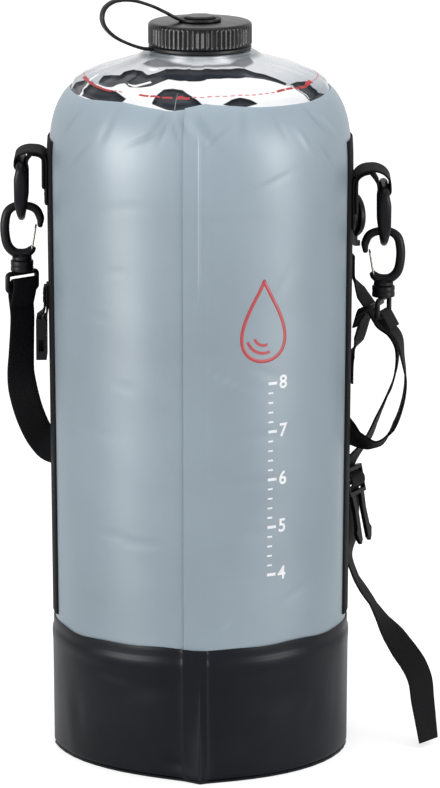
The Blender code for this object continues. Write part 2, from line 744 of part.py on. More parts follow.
def cap_seal(mat):
    """Soft disc under the cap's roof."""
    middle = (0.0, 0.0, CAP_TOP_Z - CAP_RIM_T - GAP - SEAL_T / 2)
    return pin("cap_seal", CAP_INNER_R - 2 * GAP, SEAL_T / 2, 36, mat, (middle, (0, 0, 1), (1, 0, 0)))


def tether_button(mat):
    """Octagonal rivet that snaps through the middle of the cap and lets it turn under the tether."""
    eye_top = CAP_TOP_Z + 2 * GAP + TETHER_EYE_T
    head_top = eye_top + BUTTON_HEAD_T
    collar_top = CAP_TOP_Z - CAP_MIDDLE_T - GAP
    foot = CAP_TOP_Z - CAP_RIM_T + GAP
    outline = (
        (0.0, head_top), (BUTTON_HEAD_R - BUTTON_HEAD_T, head_top),
        (BUTTON_HEAD_R, head_top - BUTTON_HEAD_T / 2), (BUTTON_HEAD_R, eye_top),
        (BUTTON_SHANK_R, eye_top), (BUTTON_SHANK_R, collar_top), (BUTTON_COLLAR_R, collar_top),
        (BUTTON_COLLAR_R - BUTTON_HEAD_T, foot), (0.0, foot),
    )
    return turned("tether_button", outline, 8, mat, start_deg=22.5)


def tether(mat):
    """One soft moulding: an eye round the button, a narrow band, and a ring round the neck."""
    low, eye_low = COLLAR_TOP_Z + GAP, CAP_TOP_Z + GAP
    ring_r = CAP_R - GAP
    ring_top, eye_top = low + TETHER_RING_T, eye_low + TETHER_EYE_T
    inner_r, hole_r = NECK_R + THREAD_DEPTH + 2 * GAP, BUTTON_SHANK_R + 2 * GAP
    ring = turned("tether", ((inner_r, low), (ring_r, low), (ring_r, ring_top), (inner_r, ring_top)), 40, mat)
    eye_outline = ((hole_r, eye_low), (TETHER_EYE_R, eye_low), (TETHER_EYE_R, eye_top), (hole_r, eye_top))
    eye = turned("tether_eye", eye_outline, 24, mat)
    turn = math.radians(180.0 + TETHER_TURN_DEG)
    out = np.array((math.cos(turn), math.sin(turn), 0.0))
    across = np.array((-math.sin(turn), math.cos(turn), 0.0))
    eye_mid, ring_mid = eye_low + TETHER_EYE_T / 2, low + TETHER_RING_T / 2
    reach = [TETHER_EYE_R * s for s in TETHER_EYE_SHARES] + [TETHER_REACH * s for s in TETHER_OUT_SHARES]
    reach += [ring_r, ring_r - TETHER_RING_T / 3]
    rise = [eye_mid, eye_mid] + [ring_mid + TETHER_RISE * s for s in TETHER_UP_SHARES] + [ring_mid, ring_mid]
    path = smooth_path([out * r + np.array((0.0, 0.0, z)) for r, z in zip(reach, rise)], 3)
    band = ribbon("tether_band", path, np.broadcast_to(across, path.shape), TETHER_W, TETHER_T, mat)
    return combine(combine(ring, eye, "UNION"), band, "UNION")


# Carrying gear

def strip_face(z):
    """Distance from the axis to the outer face of a side strip."""
    return body_radius(z) + GAP + STRIP_T


def bar_place(side):
    """Middle of the D-ring's bar, which is the joint it swings on."""
    z = SHOULDER_Z + LOOP_BAR_RISE[side]
    web_mid = strip_face(z) + GAP + WEB_T / 2
    return np.array((SIDE_SIGN[side] * (web_mid + LOOP_REACH[side]), 0.0, z))


def arc(middle, half_u, half_v, start, end, count):
    """Points on an oval arc in the plane of (out, up)."""
    turns = np.radians(np.linspace(start, end, count))
    return [(middle[0] + half_u * math.cos(t), middle[1] + half_v * math.sin(t)) for t in turns]


def beside_strip(side, route):
    """Places of webbing that is sewn to a side strip, from (out, up) pairs. It follows the strip's slope."""
    return [(SIDE_SIGN[side] * (strip_face(z) + GAP + WEB_T / 2 + out), 0.0, z) for out, z in route]


def loop_webbing(side, mat):
    """Webbing folded round the D-ring's bar: up the body, over in an arch, round the bar and back inside."""
    z = SHOULDER_Z + LOOP_BAR_RISE[side]
    base = strip_face(z) + GAP + WEB_T / 2
    reach, rise = LOOP_REACH[side], LOOP_RISE[side]
    fold = RING_BAR_R + GAP + WEB_T / 2
    layer = WEB_T + GAP
    half = (reach + fold) / 2
    spring = rise / 4
    outer = arc((half, z + spring), half, rise - spring, 165, 15, 9)
    turn = arc((reach, z), fold, fold, 0, -180, 9)
    inner = arc((half, z + spring), half - layer, rise - spring - layer, 100, 165, 5)
    route = [(0.0, z - LOOP_LEG), (0.0, z - LOOP_LEG / 2), (0.0, z)] + outer + turn
    route += [(reach - fold, z + spring)] + inner + [(layer, z), (layer, z - LOOP_TAIL)]
    path = smooth_path(beside_strip(side, route), 2)
    fall = (LOOP_W / 2) ** 2 / (2 * strip_face(z))
    cup = fall * np.clip(1.0 - (np.abs(path[:, 0]) - base) / (reach / 2), 0.0, 1.0)
    upward = np.where(np.arange(len(path)) < len(path) / 2, 1.0, -1.0)
    return ribbon("loop_webbing_" + SIDE_NAME[side], path, np.broadcast_to((0.0, 1.0, 0.0), path.shape),
                  LOOP_W, WEB_T, mat, -cup * upward * SIDE_SIGN[side])


def ramp(x, start_end):
    """0 before the start and 1 after the end, straight between them."""
    start, end = start_end
    return np.clip((x - start) / (end - start), 0.0, 1.0)


def d_ring(side, mat):
    """Straight bar inside the webbing, sides beyond it, and a bow that narrows where the hook hangs."""
    bar = bar_place(side)
    half = (RING_INNER_W + RING_SIDE_T) / 2
    corner = RING_SIDE_T
    straight = RING_DROP / 5
    route = [(-half + corner, 0.0), (0.0, 0.0), (half - corner, 0.0)]
    route += arc((half - corner, -corner), corner, corner, 60, 0, 3) + [(half, -straight)]
    bow = arc((0.0, -straight), half, RING_DROP - straight, 0, -180, 15)
    route += bow[1:-1] + [(-half, -straight)] + arc((-half + corner, -corner), corner, corner, 180, 120, 3)
    path = np.array([bar + np.array((0.0, y, z)) for y, z in route])
    depth = -(path[:, 2] - bar[2]) / RING_DROP
    sides = ramp(depth, RING_SIDE_SPAN_SHARES) * ramp(depth, RING_END_SPAN_SHARES)
    low = ramp(depth, RING_BOW_SPAN_SHARES) * (1.0 - sides)
    half_x = RING_BAR_R + (RING_SIDE_DEPTH / 2 - RING_BAR_R) * sides + (RING_BOW_R - RING_BAR_R) * low
    half_in = RING_BAR_R + (RING_SIDE_T / 2 - RING_BAR_R) * sides + (RING_BOW_T / 2 - RING_BAR_R) * low
    return round_bar("d_ring_" + SIDE_NAME[side], path, 8, half_x, half_in, (1.0, 0.0, 0.0), mat, closed=True)


def bow_place(side):
    return bar_place(side) - np.array((0.0, 0.0, RING_DROP))


def hook_foot(side):
    """Middle of the face where the snap hook sits on its swivel."""
    tube_half = HOOK_TUBE * HOOK_TUBE_SHARES[HOOK_CROWN] / 2
    top_inside = HOOK_H * HOOK_UP_SHARES[HOOK_CROWN] - tube_half
    return bow_place(side) + np.array((0.0, 0.0, RING_BOW_T / 2 + 2 * GAP - top_inside))


def hook_point(side, shares):
    return hook_foot(side) + np.array((SIDE_SIGN[side] * shares[0] * HOOK_W, 0.0, shares[1] * HOOK_H))


def snap_hook(side, mat):
    """Hook with its spine outwards, on a base with a headed shank that turns in the swivel."""
    name = SIDE_NAME[side]
    route = [hook_point(side, s) for s in zip(HOOK_OUT_SHARES, HOOK_UP_SHARES)]
    path = smooth_path(route, 2)
    tubes = blended(HOOK_TUBE_SHARES, 2)[:, 0] * HOOK_TUBE / 2
    body = round_bar("snap_hook_" + name, path, 10, tubes, tubes, (0.0, 1.0, 0.0), mat)
    foot = hook_foot(side)
    head_top = -SWIVEL_ROOF - 2 * GAP
    outline = (
        (0.0, HOOK_BASE_H + CUT_OVER), (HOOK_BASE_R / 2, HOOK_BASE_H + CUT_OVER), (HOOK_BASE_R, HOOK_BASE_H),
        (HOOK_BASE_R, 0.0), (SHANK_R, 0.0), (SHANK_R, head_top), (SHANK_HEAD_R, head_top),
        (SHANK_HEAD_R, head_top - SHANK_HEAD_T), (0.0, head_top - SHANK_HEAD_T),
    )
    base = turned("hook_base_" + name, outline, 20, mat, frame=(foot, (0, 0, 1), (1, 0, 0)))
    combine(body, base, "UNION")
    pivot = hook_point(side, GATE_PIVOT_SHARES)
    hole = pin("gate_hole_" + name, GATE_WIRE / 2 + GAP, HOOK_TUBE, 10, mat, (pivot, (0, 1, 0), (1, 0, 0)))
    return combine(body, hole, "DIFFERENCE")


def wire_gate(side, mat):
    """A closed loop of wire: its lower run is the pivot in the hook, its upper run rests on the nose."""
    low, high = hook_point(side, GATE_PIVOT_SHARES), hook_point(side, GATE_TOP_SHARES)
    up = unit(high - low)
    length = np.linalg.norm(high - low)
    half, bend = GATE_SPREAD / 2, GATE_WIRE
    route = arc((half - bend, bend), bend, bend, -90, 0, 4)
    route += [(half, length / 2)] + arc((half - bend, length - bend), bend, bend, 0, 90, 4)
    route += arc((-half + bend, length - bend), bend, bend, 90, 180, 4)
    route += [(-half, length / 2)] + arc((-half + bend, bend), bend, bend, 180, 270, 4)
    path = np.array([low + np.array((0.0, y, 0.0)) + up * v for y, v in route])
    normal, wire_r = np.cross((0.0, 1.0, 0.0), up), GATE_WIRE / 2
    return round_bar("wire_gate_" + SIDE_NAME[side], path, 6, wire_r, wire_r, normal, mat, closed=True)


def eye_side(side):
    turn = math.radians(EYE_TURN_DEG[side])
    return np.array((math.cos(turn), math.sin(turn), 0.0))


def eye_place(side):
    """Middle of the swivel bar that carries the shoulder strap."""
    return hook_foot(side) - np.array((0.0, 0.0, EYE_DROP))


def swivel(side, mat):
    """Collar that turns on the hook's shank, with a wide eye for the strap below."""
    name = SIDE_NAME[side]
    foot = hook_foot(side)
    low, roof_low = -GAP - SWIVEL_H, -SWIVEL_ROOF
    bore, hollow = SHANK_R + GAP, SHANK_HEAD_R + 2 * GAP
    outline = (
        (bore, -GAP), (SWIVEL_R - SWIVEL_EDGE, -GAP), (SWIVEL_R, -GAP - SWIVEL_EDGE),
        (SWIVEL_R, low + SWIVEL_EDGE), (SWIVEL_R - SWIVEL_EDGE, low), (hollow, low), (hollow, roof_low),
        (bore, roof_low),
    )
    collar = turned("swivel_" + name, outline, 20, mat, frame=(foot, (0, 0, 1), (1, 0, 0)))
    half = WEB_W / 2 + EYE_BAR_R + 2 * GAP
    bend = EYE_BAR_R + GAP
    route = arc((half - bend, -EYE_DROP + bend), bend, bend, -90, 0, 4)
    route += arc((half - bend, -EYE_TOP - bend), bend, bend, 0, 90, 4)
    route += arc((-half + bend, -EYE_TOP - bend), bend, bend, 90, 180, 4)
    route += arc((-half + bend, -EYE_DROP + bend), bend, bend, 180, 270, 4)
    across = eye_side(side)
    path = np.array([foot + across * u + np.array((0.0, 0.0, v)) for u, v in route])
    normal = np.cross(across, (0.0, 0.0, 1.0))
    eye = round_bar("swivel_eye_" + name, path, 8, EYE_BAR_R, EYE_BAR_R, normal, mat, closed=True)
    return combine(collar, eye, "UNION")


def hang_height():
    """Mean height of the two swivel bars, which carry the straps."""
    return (eye_place(LEFT)[2] + eye_place(RIGHT)[2]) / 2


def strap_place(deg, off_share, up_share):
    """A place beside the bag from its angle, its stand-off from the wall and its height."""
    z = up_share * hang_height()
    reach = body_radius(z) + off_share * WEB_W
    turn = math.radians(deg)
    return np.array((reach * math.cos(turn), reach * math.sin(turn), z))


def strap_route(degs, off_shares, up_shares):
    return [strap_place(*row) for row in zip(degs, off_shares, up_shares)]


def folded_end(bar, across, radius, towards):
    """Places of a strap's end from its sewn tip, over a bar, to where the strap sets off towards a place."""
    pull = towards - bar
    pull = unit(pull - across * np.dot(pull, across))
    face = np.cross(across, pull)
    over = [bar + radius * (math.cos(a) * face - math.sin(a) * pull) for a in np.linspace(math.pi, 0.0, 7)]
    tip_in, tip_down = FOLD_TIP_SHARES
    return [bar - face * radius * tip_in + pull * WEB_W * tip_down] + over


def shoulder_strap(mat):
    """From the left swivel down, behind the bag, and up to the right swivel, folded over each eye."""
    fold = EYE_BAR_R + GAP + WEB_T / 2
    left, right = eye_side(LEFT), eye_side(RIGHT)
    middle = strap_route(SHOULDER_DEGS, SHOULDER_OFF_SHARES, SHOULDER_UP_SHARES)
    start = folded_end(eye_place(LEFT), left, fold, middle[0])
    stop = folded_end(eye_place(RIGHT), right, fold, middle[-1])[::-1]
    route = start + middle + stop
    lies = [left] * len(start) + [np.array(v) for v in SHOULDER_WIDTH_SHARES] + [right] * len(stop)
    return ribbon("shoulder_strap", smooth_path(route, 3), blended(lies, 3), WEB_W, WEB_T, mat)


def sewn_end(up_shares):
    """Places along the right strip's face where a strap is sewn on. The last one starts to leave the face."""
    turn = math.radians(ANCHOR_DEG)
    lifts = [GAP + WEB_T / 2] * (len(up_shares) - 1) + [GAP + WEB_T]
    places = []
    for share, lift in zip(up_shares, lifts):
        z = share * hang_height()
        reach = strip_face(z) + lift
        places.append(np.array((reach * math.cos(turn), reach * math.sin(turn), z)))
    return places


def sewn_way():
    """The way a strap's width lies where it is sewn on."""
    turn = math.radians(ANCHOR_DEG)
    return np.array((-math.sin(turn), math.cos(turn), 0.0))


# Buckles

def buckle_frame():
    """Middle of the male buckle's bar, and its across, down and outward directions."""
    turn, lean = math.radians(BUCKLE_TURN_DEG), math.radians(BUCKLE_LEAN_DEG)
    across = np.array((math.cos(turn), math.sin(turn), 0.0))
    level = np.array((math.sin(turn), -math.cos(turn), 0.0))
    down = level * math.sin(lean) - np.array((0.0, 0.0, math.cos(lean)))
    middle = strap_place(BUCKLE_DEG, BUCKLE_OFF_SHARE, BUCKLE_UP_SHARE)
    return middle, across, down, np.cross(down, across)


def buckle_male(mat):
    """Ladder frame with a middle bar, and two prongs with barbed ends."""
    middle, across, down, out = buckle_frame()
    axes = (across, down, out)
    slot_mid = (BUCKLE_BAR + BUCKLE_SLOT) / 2
    frame_half = BUCKLE_BAR / 2 + BUCKLE_SLOT + BUCKLE_FRAME
    slot_w = WEB_W / 2 + 2 * GAP
    body = block("buckle_male", middle, axes, (BUCKLE_W / 2, frame_half, BUCKLE_T / 2), mat)
    for sign in (-1.0, 1.0):
        slot = block("ladder_slot", middle + down * sign * slot_mid, axes,
                     (slot_w, BUCKLE_SLOT / 2, BUCKLE_T), mat)
        combine(body, slot, "DIFFERENCE")
        outer = PRONG_SPAN / 2
        inner = outer - PRONG_W
        start, stop = frame_half - FUSE, frame_half + PRONG_L
        barb = outer + PRONG_BARB
        outline = ((inner, start), (outer, start), (outer - PRONG_BARB / 2, start + PRONG_L / 3),
                   (outer, stop - PRONG_L / 3), (barb, stop - PRONG_L / 4), (outer, stop - PRONG_L / 12),
                   (outer - PRONG_W / 2, stop), (inner, stop - PRONG_L / 12),
                   (inner - PRONG_BARB / 2, start + PRONG_L / 3))
        rings = np.array([[middle + across * sign * u + down * v + out * w for u, v in outline]
                          for w in (-BUCKLE_T / 2 + FUSE, BUCKLE_T / 2 - FUSE)])
        combine(body, tube("prong", rings, mat), "UNION")
    return body


def female_place():
    """Middle of the female buckle's bar, which is the joint it swings on."""
    z = FEMALE_BAR_SHARE * hang_height()
    return np.array((-(strip_face(z) + FEMALE_OUT), 0.0, z))


def buckle_female(mat):
    """Hollow half of the buckle, open below, with a bar for its tab and windows for the barbs."""
    bar = female_place()
    axes = ((0, 1, 0), (0, 0, 1), (1, 0, 0))
    depth = BUCKLE_T + 2 * SOCKET_CLEAR
    half_w, half_t = BUCKLE_W / 2, depth / 2 + FEMALE_WALL
    slot_h = 2 * (WEB_T + 2 * GAP) + FEMALE_BAR_R
    top, low = FEMALE_BAR_R, -slot_h - FEMALE_L
    middle = bar + np.array((0.0, 0.0, (top + low) / 2))
    body = block("buckle_female", middle, axes, (half_w, (top - low) / 2, half_t), mat)
    slot = block("tab_slot", bar - np.array((0, 0, FEMALE_BAR_R + slot_h / 2)), axes,
                 (TAB_W / 2 + 2 * GAP, slot_h / 2, 2 * half_t), mat)
    combine(body, slot, "DIFFERENCE")
    for sign in (-1.0, 1.0):
        shave = block("bar_shave", bar + np.array((sign * (FEMALE_BAR_R + half_t), 0, 0)),
                      axes, (TAB_W / 2 + 2 * GAP, FEMALE_BAR_R + FUSE, half_t), mat)
        combine(body, shave, "DIFFERENCE")
    socket_l = FEMALE_L - FEMALE_WALL
    wide = PRONG_SPAN / 2 + SOCKET_CLEAR
    narrow = PRONG_SPAN / 2 - PRONG_W - PRONG_BARB / 2 - SOCKET_CLEAR
    socket_halves = ((wide - narrow) / 2, (socket_l + CUT_OVER) / 2, depth / 2)
    window_halves = (half_w - wide + CUT_OVER, socket_l / 5, BUCKLE_T / 2)
    for sign in (-1.0, 1.0):
        socket_mid = bar + np.array((0.0, sign * (wide + narrow) / 2, low + (socket_l - CUT_OVER) / 2))
        combine(body, block("socket", socket_mid, axes, socket_halves, mat), "DIFFERENCE")
        window_mid = bar + np.array((0.0, sign * half_w, low + socket_l / 2))
        combine(body, block("window", window_mid, axes, window_halves, mat), "DIFFERENCE")
    return body


def buckle_tab(mat):
    """Short webbing sewn to the left strip and folded round the female buckle's bar."""
    bar = female_place()
    fold = FEMALE_BAR_R * math.sqrt(2.0) + GAP + WEB_T / 2
    reach, layer = FEMALE_OUT - GAP - WEB_T / 2, WEB_T + GAP
    close, far = (fold * share for share in TAB_CROSS_SHARES)
    route = [(0.0, TAB_LEG + layer), (0.0, fold * 2), (reach - fold, fold / 2)]
    route += arc((reach, 0.0), fold, fold, -180, 60, 9) + [(layer + fold / 3, close), (layer, far)]
    route += [(layer, TAB_LEG)]
    path = smooth_path(beside_strip(LEFT, [(out, bar[2] + up) for out, up in route]), 2)
    return ribbon("buckle_tab", path, np.broadcast_to((0.0, 1.0, 0.0), path.shape), TAB_W, WEB_T, mat)


# Straps on the right

def ladder_weave():
    """Where the strap runs through the ladder: behind the top rail, over the bar, behind the lower rail."""
    middle, _, down, out = buckle_frame()
    off = BUCKLE_T / 2 + GAP + WEB_T / 2 + FUSE / 2
    slot_mid = (BUCKLE_BAR + BUCKLE_SLOT) / 2
    far, near, inside = (BUCKLE_SLOT / 2 * share for share in WEAVE_DOWN_SHARES)
    part = off * WEAVE_OUT_SHARE
    upper = ((-slot_mid - far, -off), (-slot_mid - near, -off), (-slot_mid - inside, -part),
             (-slot_mid, 0.0), (-slot_mid + inside, part), (-slot_mid + near, off))
    lower = tuple((-d, t) for d, t in reversed(upper))
    return [middle + down * d + out * t for d, t in upper + lower]


def adjust_route():
    """Places of the adjusting strap between its anchor and the ladder."""
    return strap_route(ADJUST_DEGS, ADJUST_OFF_SHARES, ADJUST_UP_SHARES)


def adjust_strap(mat):
    """From its anchor through the keeper ring to the ladder, with its tail hanging to the floor."""
    anchor = sewn_end(ADJUST_ANCHOR_SHARES)
    weave = ladder_weave()
    across = buckle_frame()[1]
    tail = strap_route(TAIL_DEGS, TAIL_OFF_SHARES, TAIL_UP_SHARES)
    route = anchor + adjust_route() + weave + tail
    lies = [sewn_way()] * len(anchor) + [np.array(v) for v in ADJUST_WIDTH_SHARES] + [across] * len(weave)
    lies += [np.array(v) for v in TAIL_WIDTH_SHARES]
    return ribbon("adjust_strap", smooth_path(route, 2), blended(lies, 2), WEB_W, WEB_T, mat)


def keeper_frame():
    """Middle of the keeper ring, its across direction, and the way the strap's faces point there."""
    here, following = adjust_route()[KEEPER_STATION:KEEPER_STATION + 2]
    across = unit(np.array(ADJUST_WIDTH_SHARES[KEEPER_STATION]))
    along = unit(following - here)
    across = unit(across - along * np.dot(across, along))
    return here, across, np.cross(across, along)


def keeper_bar():
    here, across, face = keeper_frame()
    side = face if face[0] < 0.0 else -face
    return here + side * KEEPER_HALF_H, across, side


def keeper_ring(mat):
    """Rectangular ring round the adjusting strap."""
    here, across, face = keeper_frame()
    half_w, half_h, bend = KEEPER_HALF_W, KEEPER_HALF_H, KEEPER_WIRE_R
    route = []
    for k, (u, v) in enumerate(((1, 1), (-1, 1), (-1, -1), (1, -1))):
        route += arc((u * (half_w - bend), v * (half_h - bend)), bend, bend, k * 90, k * 90 + 90, 4)
    path = np.array([here + across * u + face * v for u, v in route])
    normal = np.cross(across, face)
    return round_bar("keeper_ring", path, 8, KEEPER_WIRE_R, KEEPER_WIRE_R, normal, mat, closed=True)


def keeper_strap(mat):
    """Short strap sewn to the right strip and folded round the keeper ring's inner bar."""
    bar, across, _ = keeper_bar()
    fold = KEEPER_WIRE_R + GAP + WEB_T / 2
    sewn = sewn_end(KEEPER_ANCHOR_SHARES)
    high = sewn[-1]
    pull = unit(bar - high - np.array((0.0, 0.0, WEB_W * KEEPER_PULL_SHARE)))
    pull = unit(pull - across * np.dot(pull, across))
    out = np.cross(across, pull)
    out = out if out[0] > 0.0 else -out
    angles = np.radians(np.linspace(-10, 190, 8))
    turns = [bar + fold * (math.cos(a) * out + math.sin(a) * pull) for a in angles]
    down, aside = (fold * share for share in KEEPER_LEAVE_SHARES)
    leave = bar - pull * down + out * aside
    down, aside = (fold * share for share in KEEPER_BACK_SHARES)
    back = [bar - pull * down - out * aside, bar - pull * KEEPER_TAIL - out * fold * KEEPER_TIP_SHARE]
    route = sewn + [(high + leave) / 2 + np.array((GAP, 0.0, -WEB_T)), leave] + turns + back
    lies = [sewn_way()] * len(sewn) + [across] * (len(route) - len(sewn))
    return ribbon("keeper_strap", smooth_path(route, 2), blended(lies, 2), WEB_W, WEB_T, mat)


# Air valve and outlet

def wall_height(origin, rim, side):
    """How far out the wall's surface and a clearance lie, at a step of rim from a place on the wall."""
    aside = float(np.dot(rim, side))
    seat = body_radius(origin[2] + rim[2]) + GAP
    return math.sqrt(seat * seat - aside * aside) - math.hypot(origin[0], origin[1])


def wall_frame(deg, z):
    """A point on the wall's surface, the way out, and the tangent there."""
    turn = math.radians(deg)
    out = np.array((math.cos(turn), math.sin(turn), 0.0))
    side = np.array((-math.sin(turn), math.cos(turn), 0.0))
    return out * body_radius(z) + np.array((0.0, 0.0, z)), out, side


def valve_frame():
    return wall_frame(VALVE_DEG, SHOULDER_Z - VALVE_DROP)


def valve_body(mat):
    """Flange on the wall, barrel outside, and a tail through the wall with a recess for the disc."""
    place, out, side = valve_frame()
    recess_r = VALVE_DISC_R + GAP
    recess_low = -VALVE_SEAT_H - GAP - VALVE_DISC_T - VALVE_DISC_TRAVEL - GAP
    outline = (
        (VALVE_BORE_R, VALVE_H), (VALVE_BARREL_R, VALVE_H), (VALVE_BARREL_R, VALVE_FLANGE_H),
        (VALVE_FLANGE_R, VALVE_FLANGE_H - GAP), (VALVE_FLANGE_R, SEATED), (VALVE_TAIL_R, SEATED),
        (VALVE_TAIL_R, -VALVE_TAIL_H), (VALVE_LIP_R, -VALVE_TAIL_H), (VALVE_LIP_R, recess_low),
        (recess_r, recess_low), (recess_r, -VALVE_SEAT_H), (VALVE_BORE_R, -VALVE_SEAT_H),
    )
    body = turned("air_valve_body", outline, 32, mat, frame=(place, out, side))
    hinge = valve_hinge()[0]
    for sign in (-1.0, 1.0):
        ear_mid = hinge + side * sign * (HINGE_W / 2 + GAP + EAR_T / 2)
        rise = HINGE_DROP - VALVE_BARREL_R * EAR_FOOT_SHARE
        drop = VALVE_H + HINGE_R - VALVE_FLANGE_H + 2 * FUSE
        high, low = (-HINGE_R * share for share in EAR_BEND_SHARES)
        reach = (
            (-drop, rise), (high, rise), (low, HINGE_R),
            (HINGE_R, HINGE_R), (HINGE_R, -HINGE_R), (-HINGE_R, -HINGE_R), (-drop, HINGE_R * 2),
        )
        rings = np.array([[ear_mid + side * w + out * u + np.array((0.0, 0.0, v)) for u, v in reach]
                          for w in (-EAR_T / 2, EAR_T / 2)])
        combine(body, tube("valve_ear", rings, mat), "UNION")
    span = HINGE_W / 2 + EAR_T + CUT_OVER
    hole = pin("valve_pin_hole", HINGE_PIN_R + GAP, span, 12, mat, (hinge, side, out))
    return combine(body, hole, "DIFFERENCE")


def valve_disc(mat):
    """Soft disc that lies against its seat from inside and lets air in only."""
    place, out, side = valve_frame()
    top = -VALVE_SEAT_H - GAP
    return turned("valve_disc", ((0.0, top), (VALVE_DISC_R, top), (VALVE_DISC_R, top - VALVE_DISC_T),
                                 (0.0, top - VALVE_DISC_T)), 24, mat, frame=(place, out, side))


def valve_hinge():
    """Axis of the flip cap: a place, the way along the pin, and the way out."""
    place, out, side = valve_frame()
    return place + out * (VALVE_H + HINGE_R) - np.array((0.0, 0.0, HINGE_DROP)), side, out


def valve_cap(mat):
    """Flip cap with a hollow plug, a knuckle at its foot and the hinge pin moulded on."""
    place, out, side = valve_frame()
    low = VALVE_H + GAP
    top, tip = low + VALVE_CAP_T, low - VALVE_PLUG_L
    plug_out, plug_in = VALVE_PLUG_R, VALVE_PLUG_R - VALVE_PLUG_WALL
    taper = VALVE_PLUG_WALL / 2
    outline = (
        (0.0, top), (VALVE_CAP_R - HINGE_PIN_R, top), (VALVE_CAP_R, low + VALVE_CAP_T * LID_EDGE_SHARE),
        (VALVE_CAP_R, low), (plug_out, low), (plug_out - taper, tip), (plug_in - taper, tip), (plug_in, low),
        (0.0, low),
    )
    lid = turned("valve_cap", outline, 32, mat, frame=(place, out, side))
    hinge = valve_hinge()[0]
    half = HINGE_W / 2
    arm_low, arm_high = -HINGE_PIN_R / 2, HINGE_DROP - VALVE_CAP_R * ARM_REACH_SHARE
    arm_in, arm_out = -HINGE_PIN_R, VALVE_CAP_T - HINGE_R - FUSE
    arm_mid = hinge + out * (arm_in + arm_out) / 2 + np.array((0.0, 0.0, (arm_low + arm_high) / 2))
    halves = (half - FUSE, (arm_high - arm_low) / 2, (arm_out - arm_in) / 2)
    arm = block("valve_arm", arm_mid, (side, (0, 0, 1), out), halves, mat)
    knuckle = pin("valve_knuckle", HINGE_R, half, 12, mat, (hinge, side, out))
    hinge_pin = pin("valve_pin", HINGE_PIN_R, half + EAR_T, 12, mat, (hinge, side, out))
    for other in (arm, knuckle, hinge_pin):
        combine(lid, other, "UNION")
    return lid


def outlet_frame():
    return wall_frame(OUTLET_DEG, BAND_H + OUTLET_RISE)


def outlet_spigot(mat):
    """Flanged spigot with a barb, through the back wall."""
    place, out, side = outlet_frame()
    barb = OUTLET_R + RIB_DEPTH
    barb_high, barb_low = (OUTLET_L * share for share in BARB_SHARES)
    outline = (
        (OUTLET_BORE_R, OUTLET_L), (OUTLET_R - RIB_DEPTH, OUTLET_L), (barb, barb_high),
        (OUTLET_R, barb_low), (OUTLET_R, OUTLET_FLANGE_H), (OUTLET_FLANGE_R, OUTLET_FLANGE_H),
        (OUTLET_FLANGE_R, SEATED), (OUTLET_TAIL_R, SEATED), (OUTLET_TAIL_R, -OUTLET_TAIL_L),
        (OUTLET_BORE_R, -OUTLET_TAIL_L),
    )
    return turned("outlet_spigot", outline, 28, mat, frame=(place, out, side))


def outlet_cap(mat):
    """Push-on cap over the spigot."""
    place, out, side = outlet_frame()
    inner = OUTLET_R + RIB_DEPTH + GAP
    roof_low = OUTLET_L + GAP
    roof = roof_low + OUTLET_CAP_ROOF
    foot = roof - OUTLET_CAP_L
    outline = (
        (0.0, roof), (OUTLET_CAP_R - RIB_DEPTH, roof), (OUTLET_CAP_R, roof - RIB_DEPTH),
        (OUTLET_CAP_R, foot), (inner, foot), (inner, roof_low), (0.0, roof_low),
    )
    return turned("outlet_cap", outline, 24, mat, frame=(place, out, side))


def pierce(panel, name, frame, radius, mat):
    """Cut a round hole through a wall panel, at a frame of its wall."""
    hole = pin(name, radius, VALVE_TAIL_H + CUT_OVER, 32, mat, frame)
    return combine(panel, hole, "DIFFERENCE")


# Assembly

def build():
    clear_scene()
    grey = material("coated_fabric_grey", (0.30, 0.37, 0.42), 0.45)
    clear = material("clear_film", (0.75, 0.80, 0.83), 0.08, alpha=0.4)
    black_film = material("black_film", (0.012, 0.012, 0.015), 0.35)
    web = material("black_webbing", (0.020, 0.020, 0.022), 0.85)
    plastic = material("black_plastic", (0.018, 0.018, 0.020), 0.4)
    rubber = material("black_rubber", (0.015, 0.015, 0.015), 0.7)
    steel = material("steel_wire", (0.65, 0.66, 0.67), 0.25, metallic=1.0)

    front, back = seam_degs()
    right_wall = wall_panel("right_wall", front[0], back[0], 1.0, grey)
    wall_panel("left_wall", back[1], 360.0 + front[1], -1.0, grey)
    pierce(right_wall, "valve_hole", valve_frame(), VALVE_TAIL_R + GAP, grey)
    pierce(right_wall, "outlet_hole", outlet_frame(), OUTLET_TAIL_R + GAP, grey)
    clear_dome(clear)
    base_wall(black_film)
    base_floor(black_film)
    for which in (LEFT, RIGHT):
        side_strip(which, web)

    neck_spout(clear)
    lid, seal, button = cap(plastic), cap_seal(rubber), tether_button(plastic)
    tether(rubber)
    joint_empty("cap_joint", (0.0, 0.0, CAP_TOP_Z), (lid, seal, button))

    for which in (LEFT, RIGHT):
        name = SIDE_NAME[which]
        loop_webbing(which, web)
        joint_empty("d_ring_joint_" + name, bar_place(which), (d_ring(which, plastic),))
        hook, eye = snap_hook(which, plastic), swivel(which, plastic)
        joint_empty("hook_joint_" + name, bow_place(which), (hook, eye))
        joint_empty("gate_joint_" + name, hook_point(which, GATE_PIVOT_SHARES), (wire_gate(which, steel),))
    shoulder_strap(web)

    adjust_strap(web)
    keeper_strap(web)
    joint_empty("keeper_joint", keeper_bar()[0], (keeper_ring(plastic),))
    joint_empty("buckle_male_joint", buckle_frame()[0], (buckle_male(plastic),))
    buckle_tab(web)
    joint_empty("buckle_female_joint", female_place(), (buckle_female(plastic),))

    valve_body(plastic)
    joint_empty("valve_disc_joint", valve_frame()[0], (valve_disc(rubber),))
    joint_empty("valve_cap_joint", valve_hinge()[0], (valve_cap(plastic),))
    outlet_spigot(plastic)
    joint_empty("outlet_cap_joint", outlet_frame()[0], (outlet_cap(rubber),))


build()
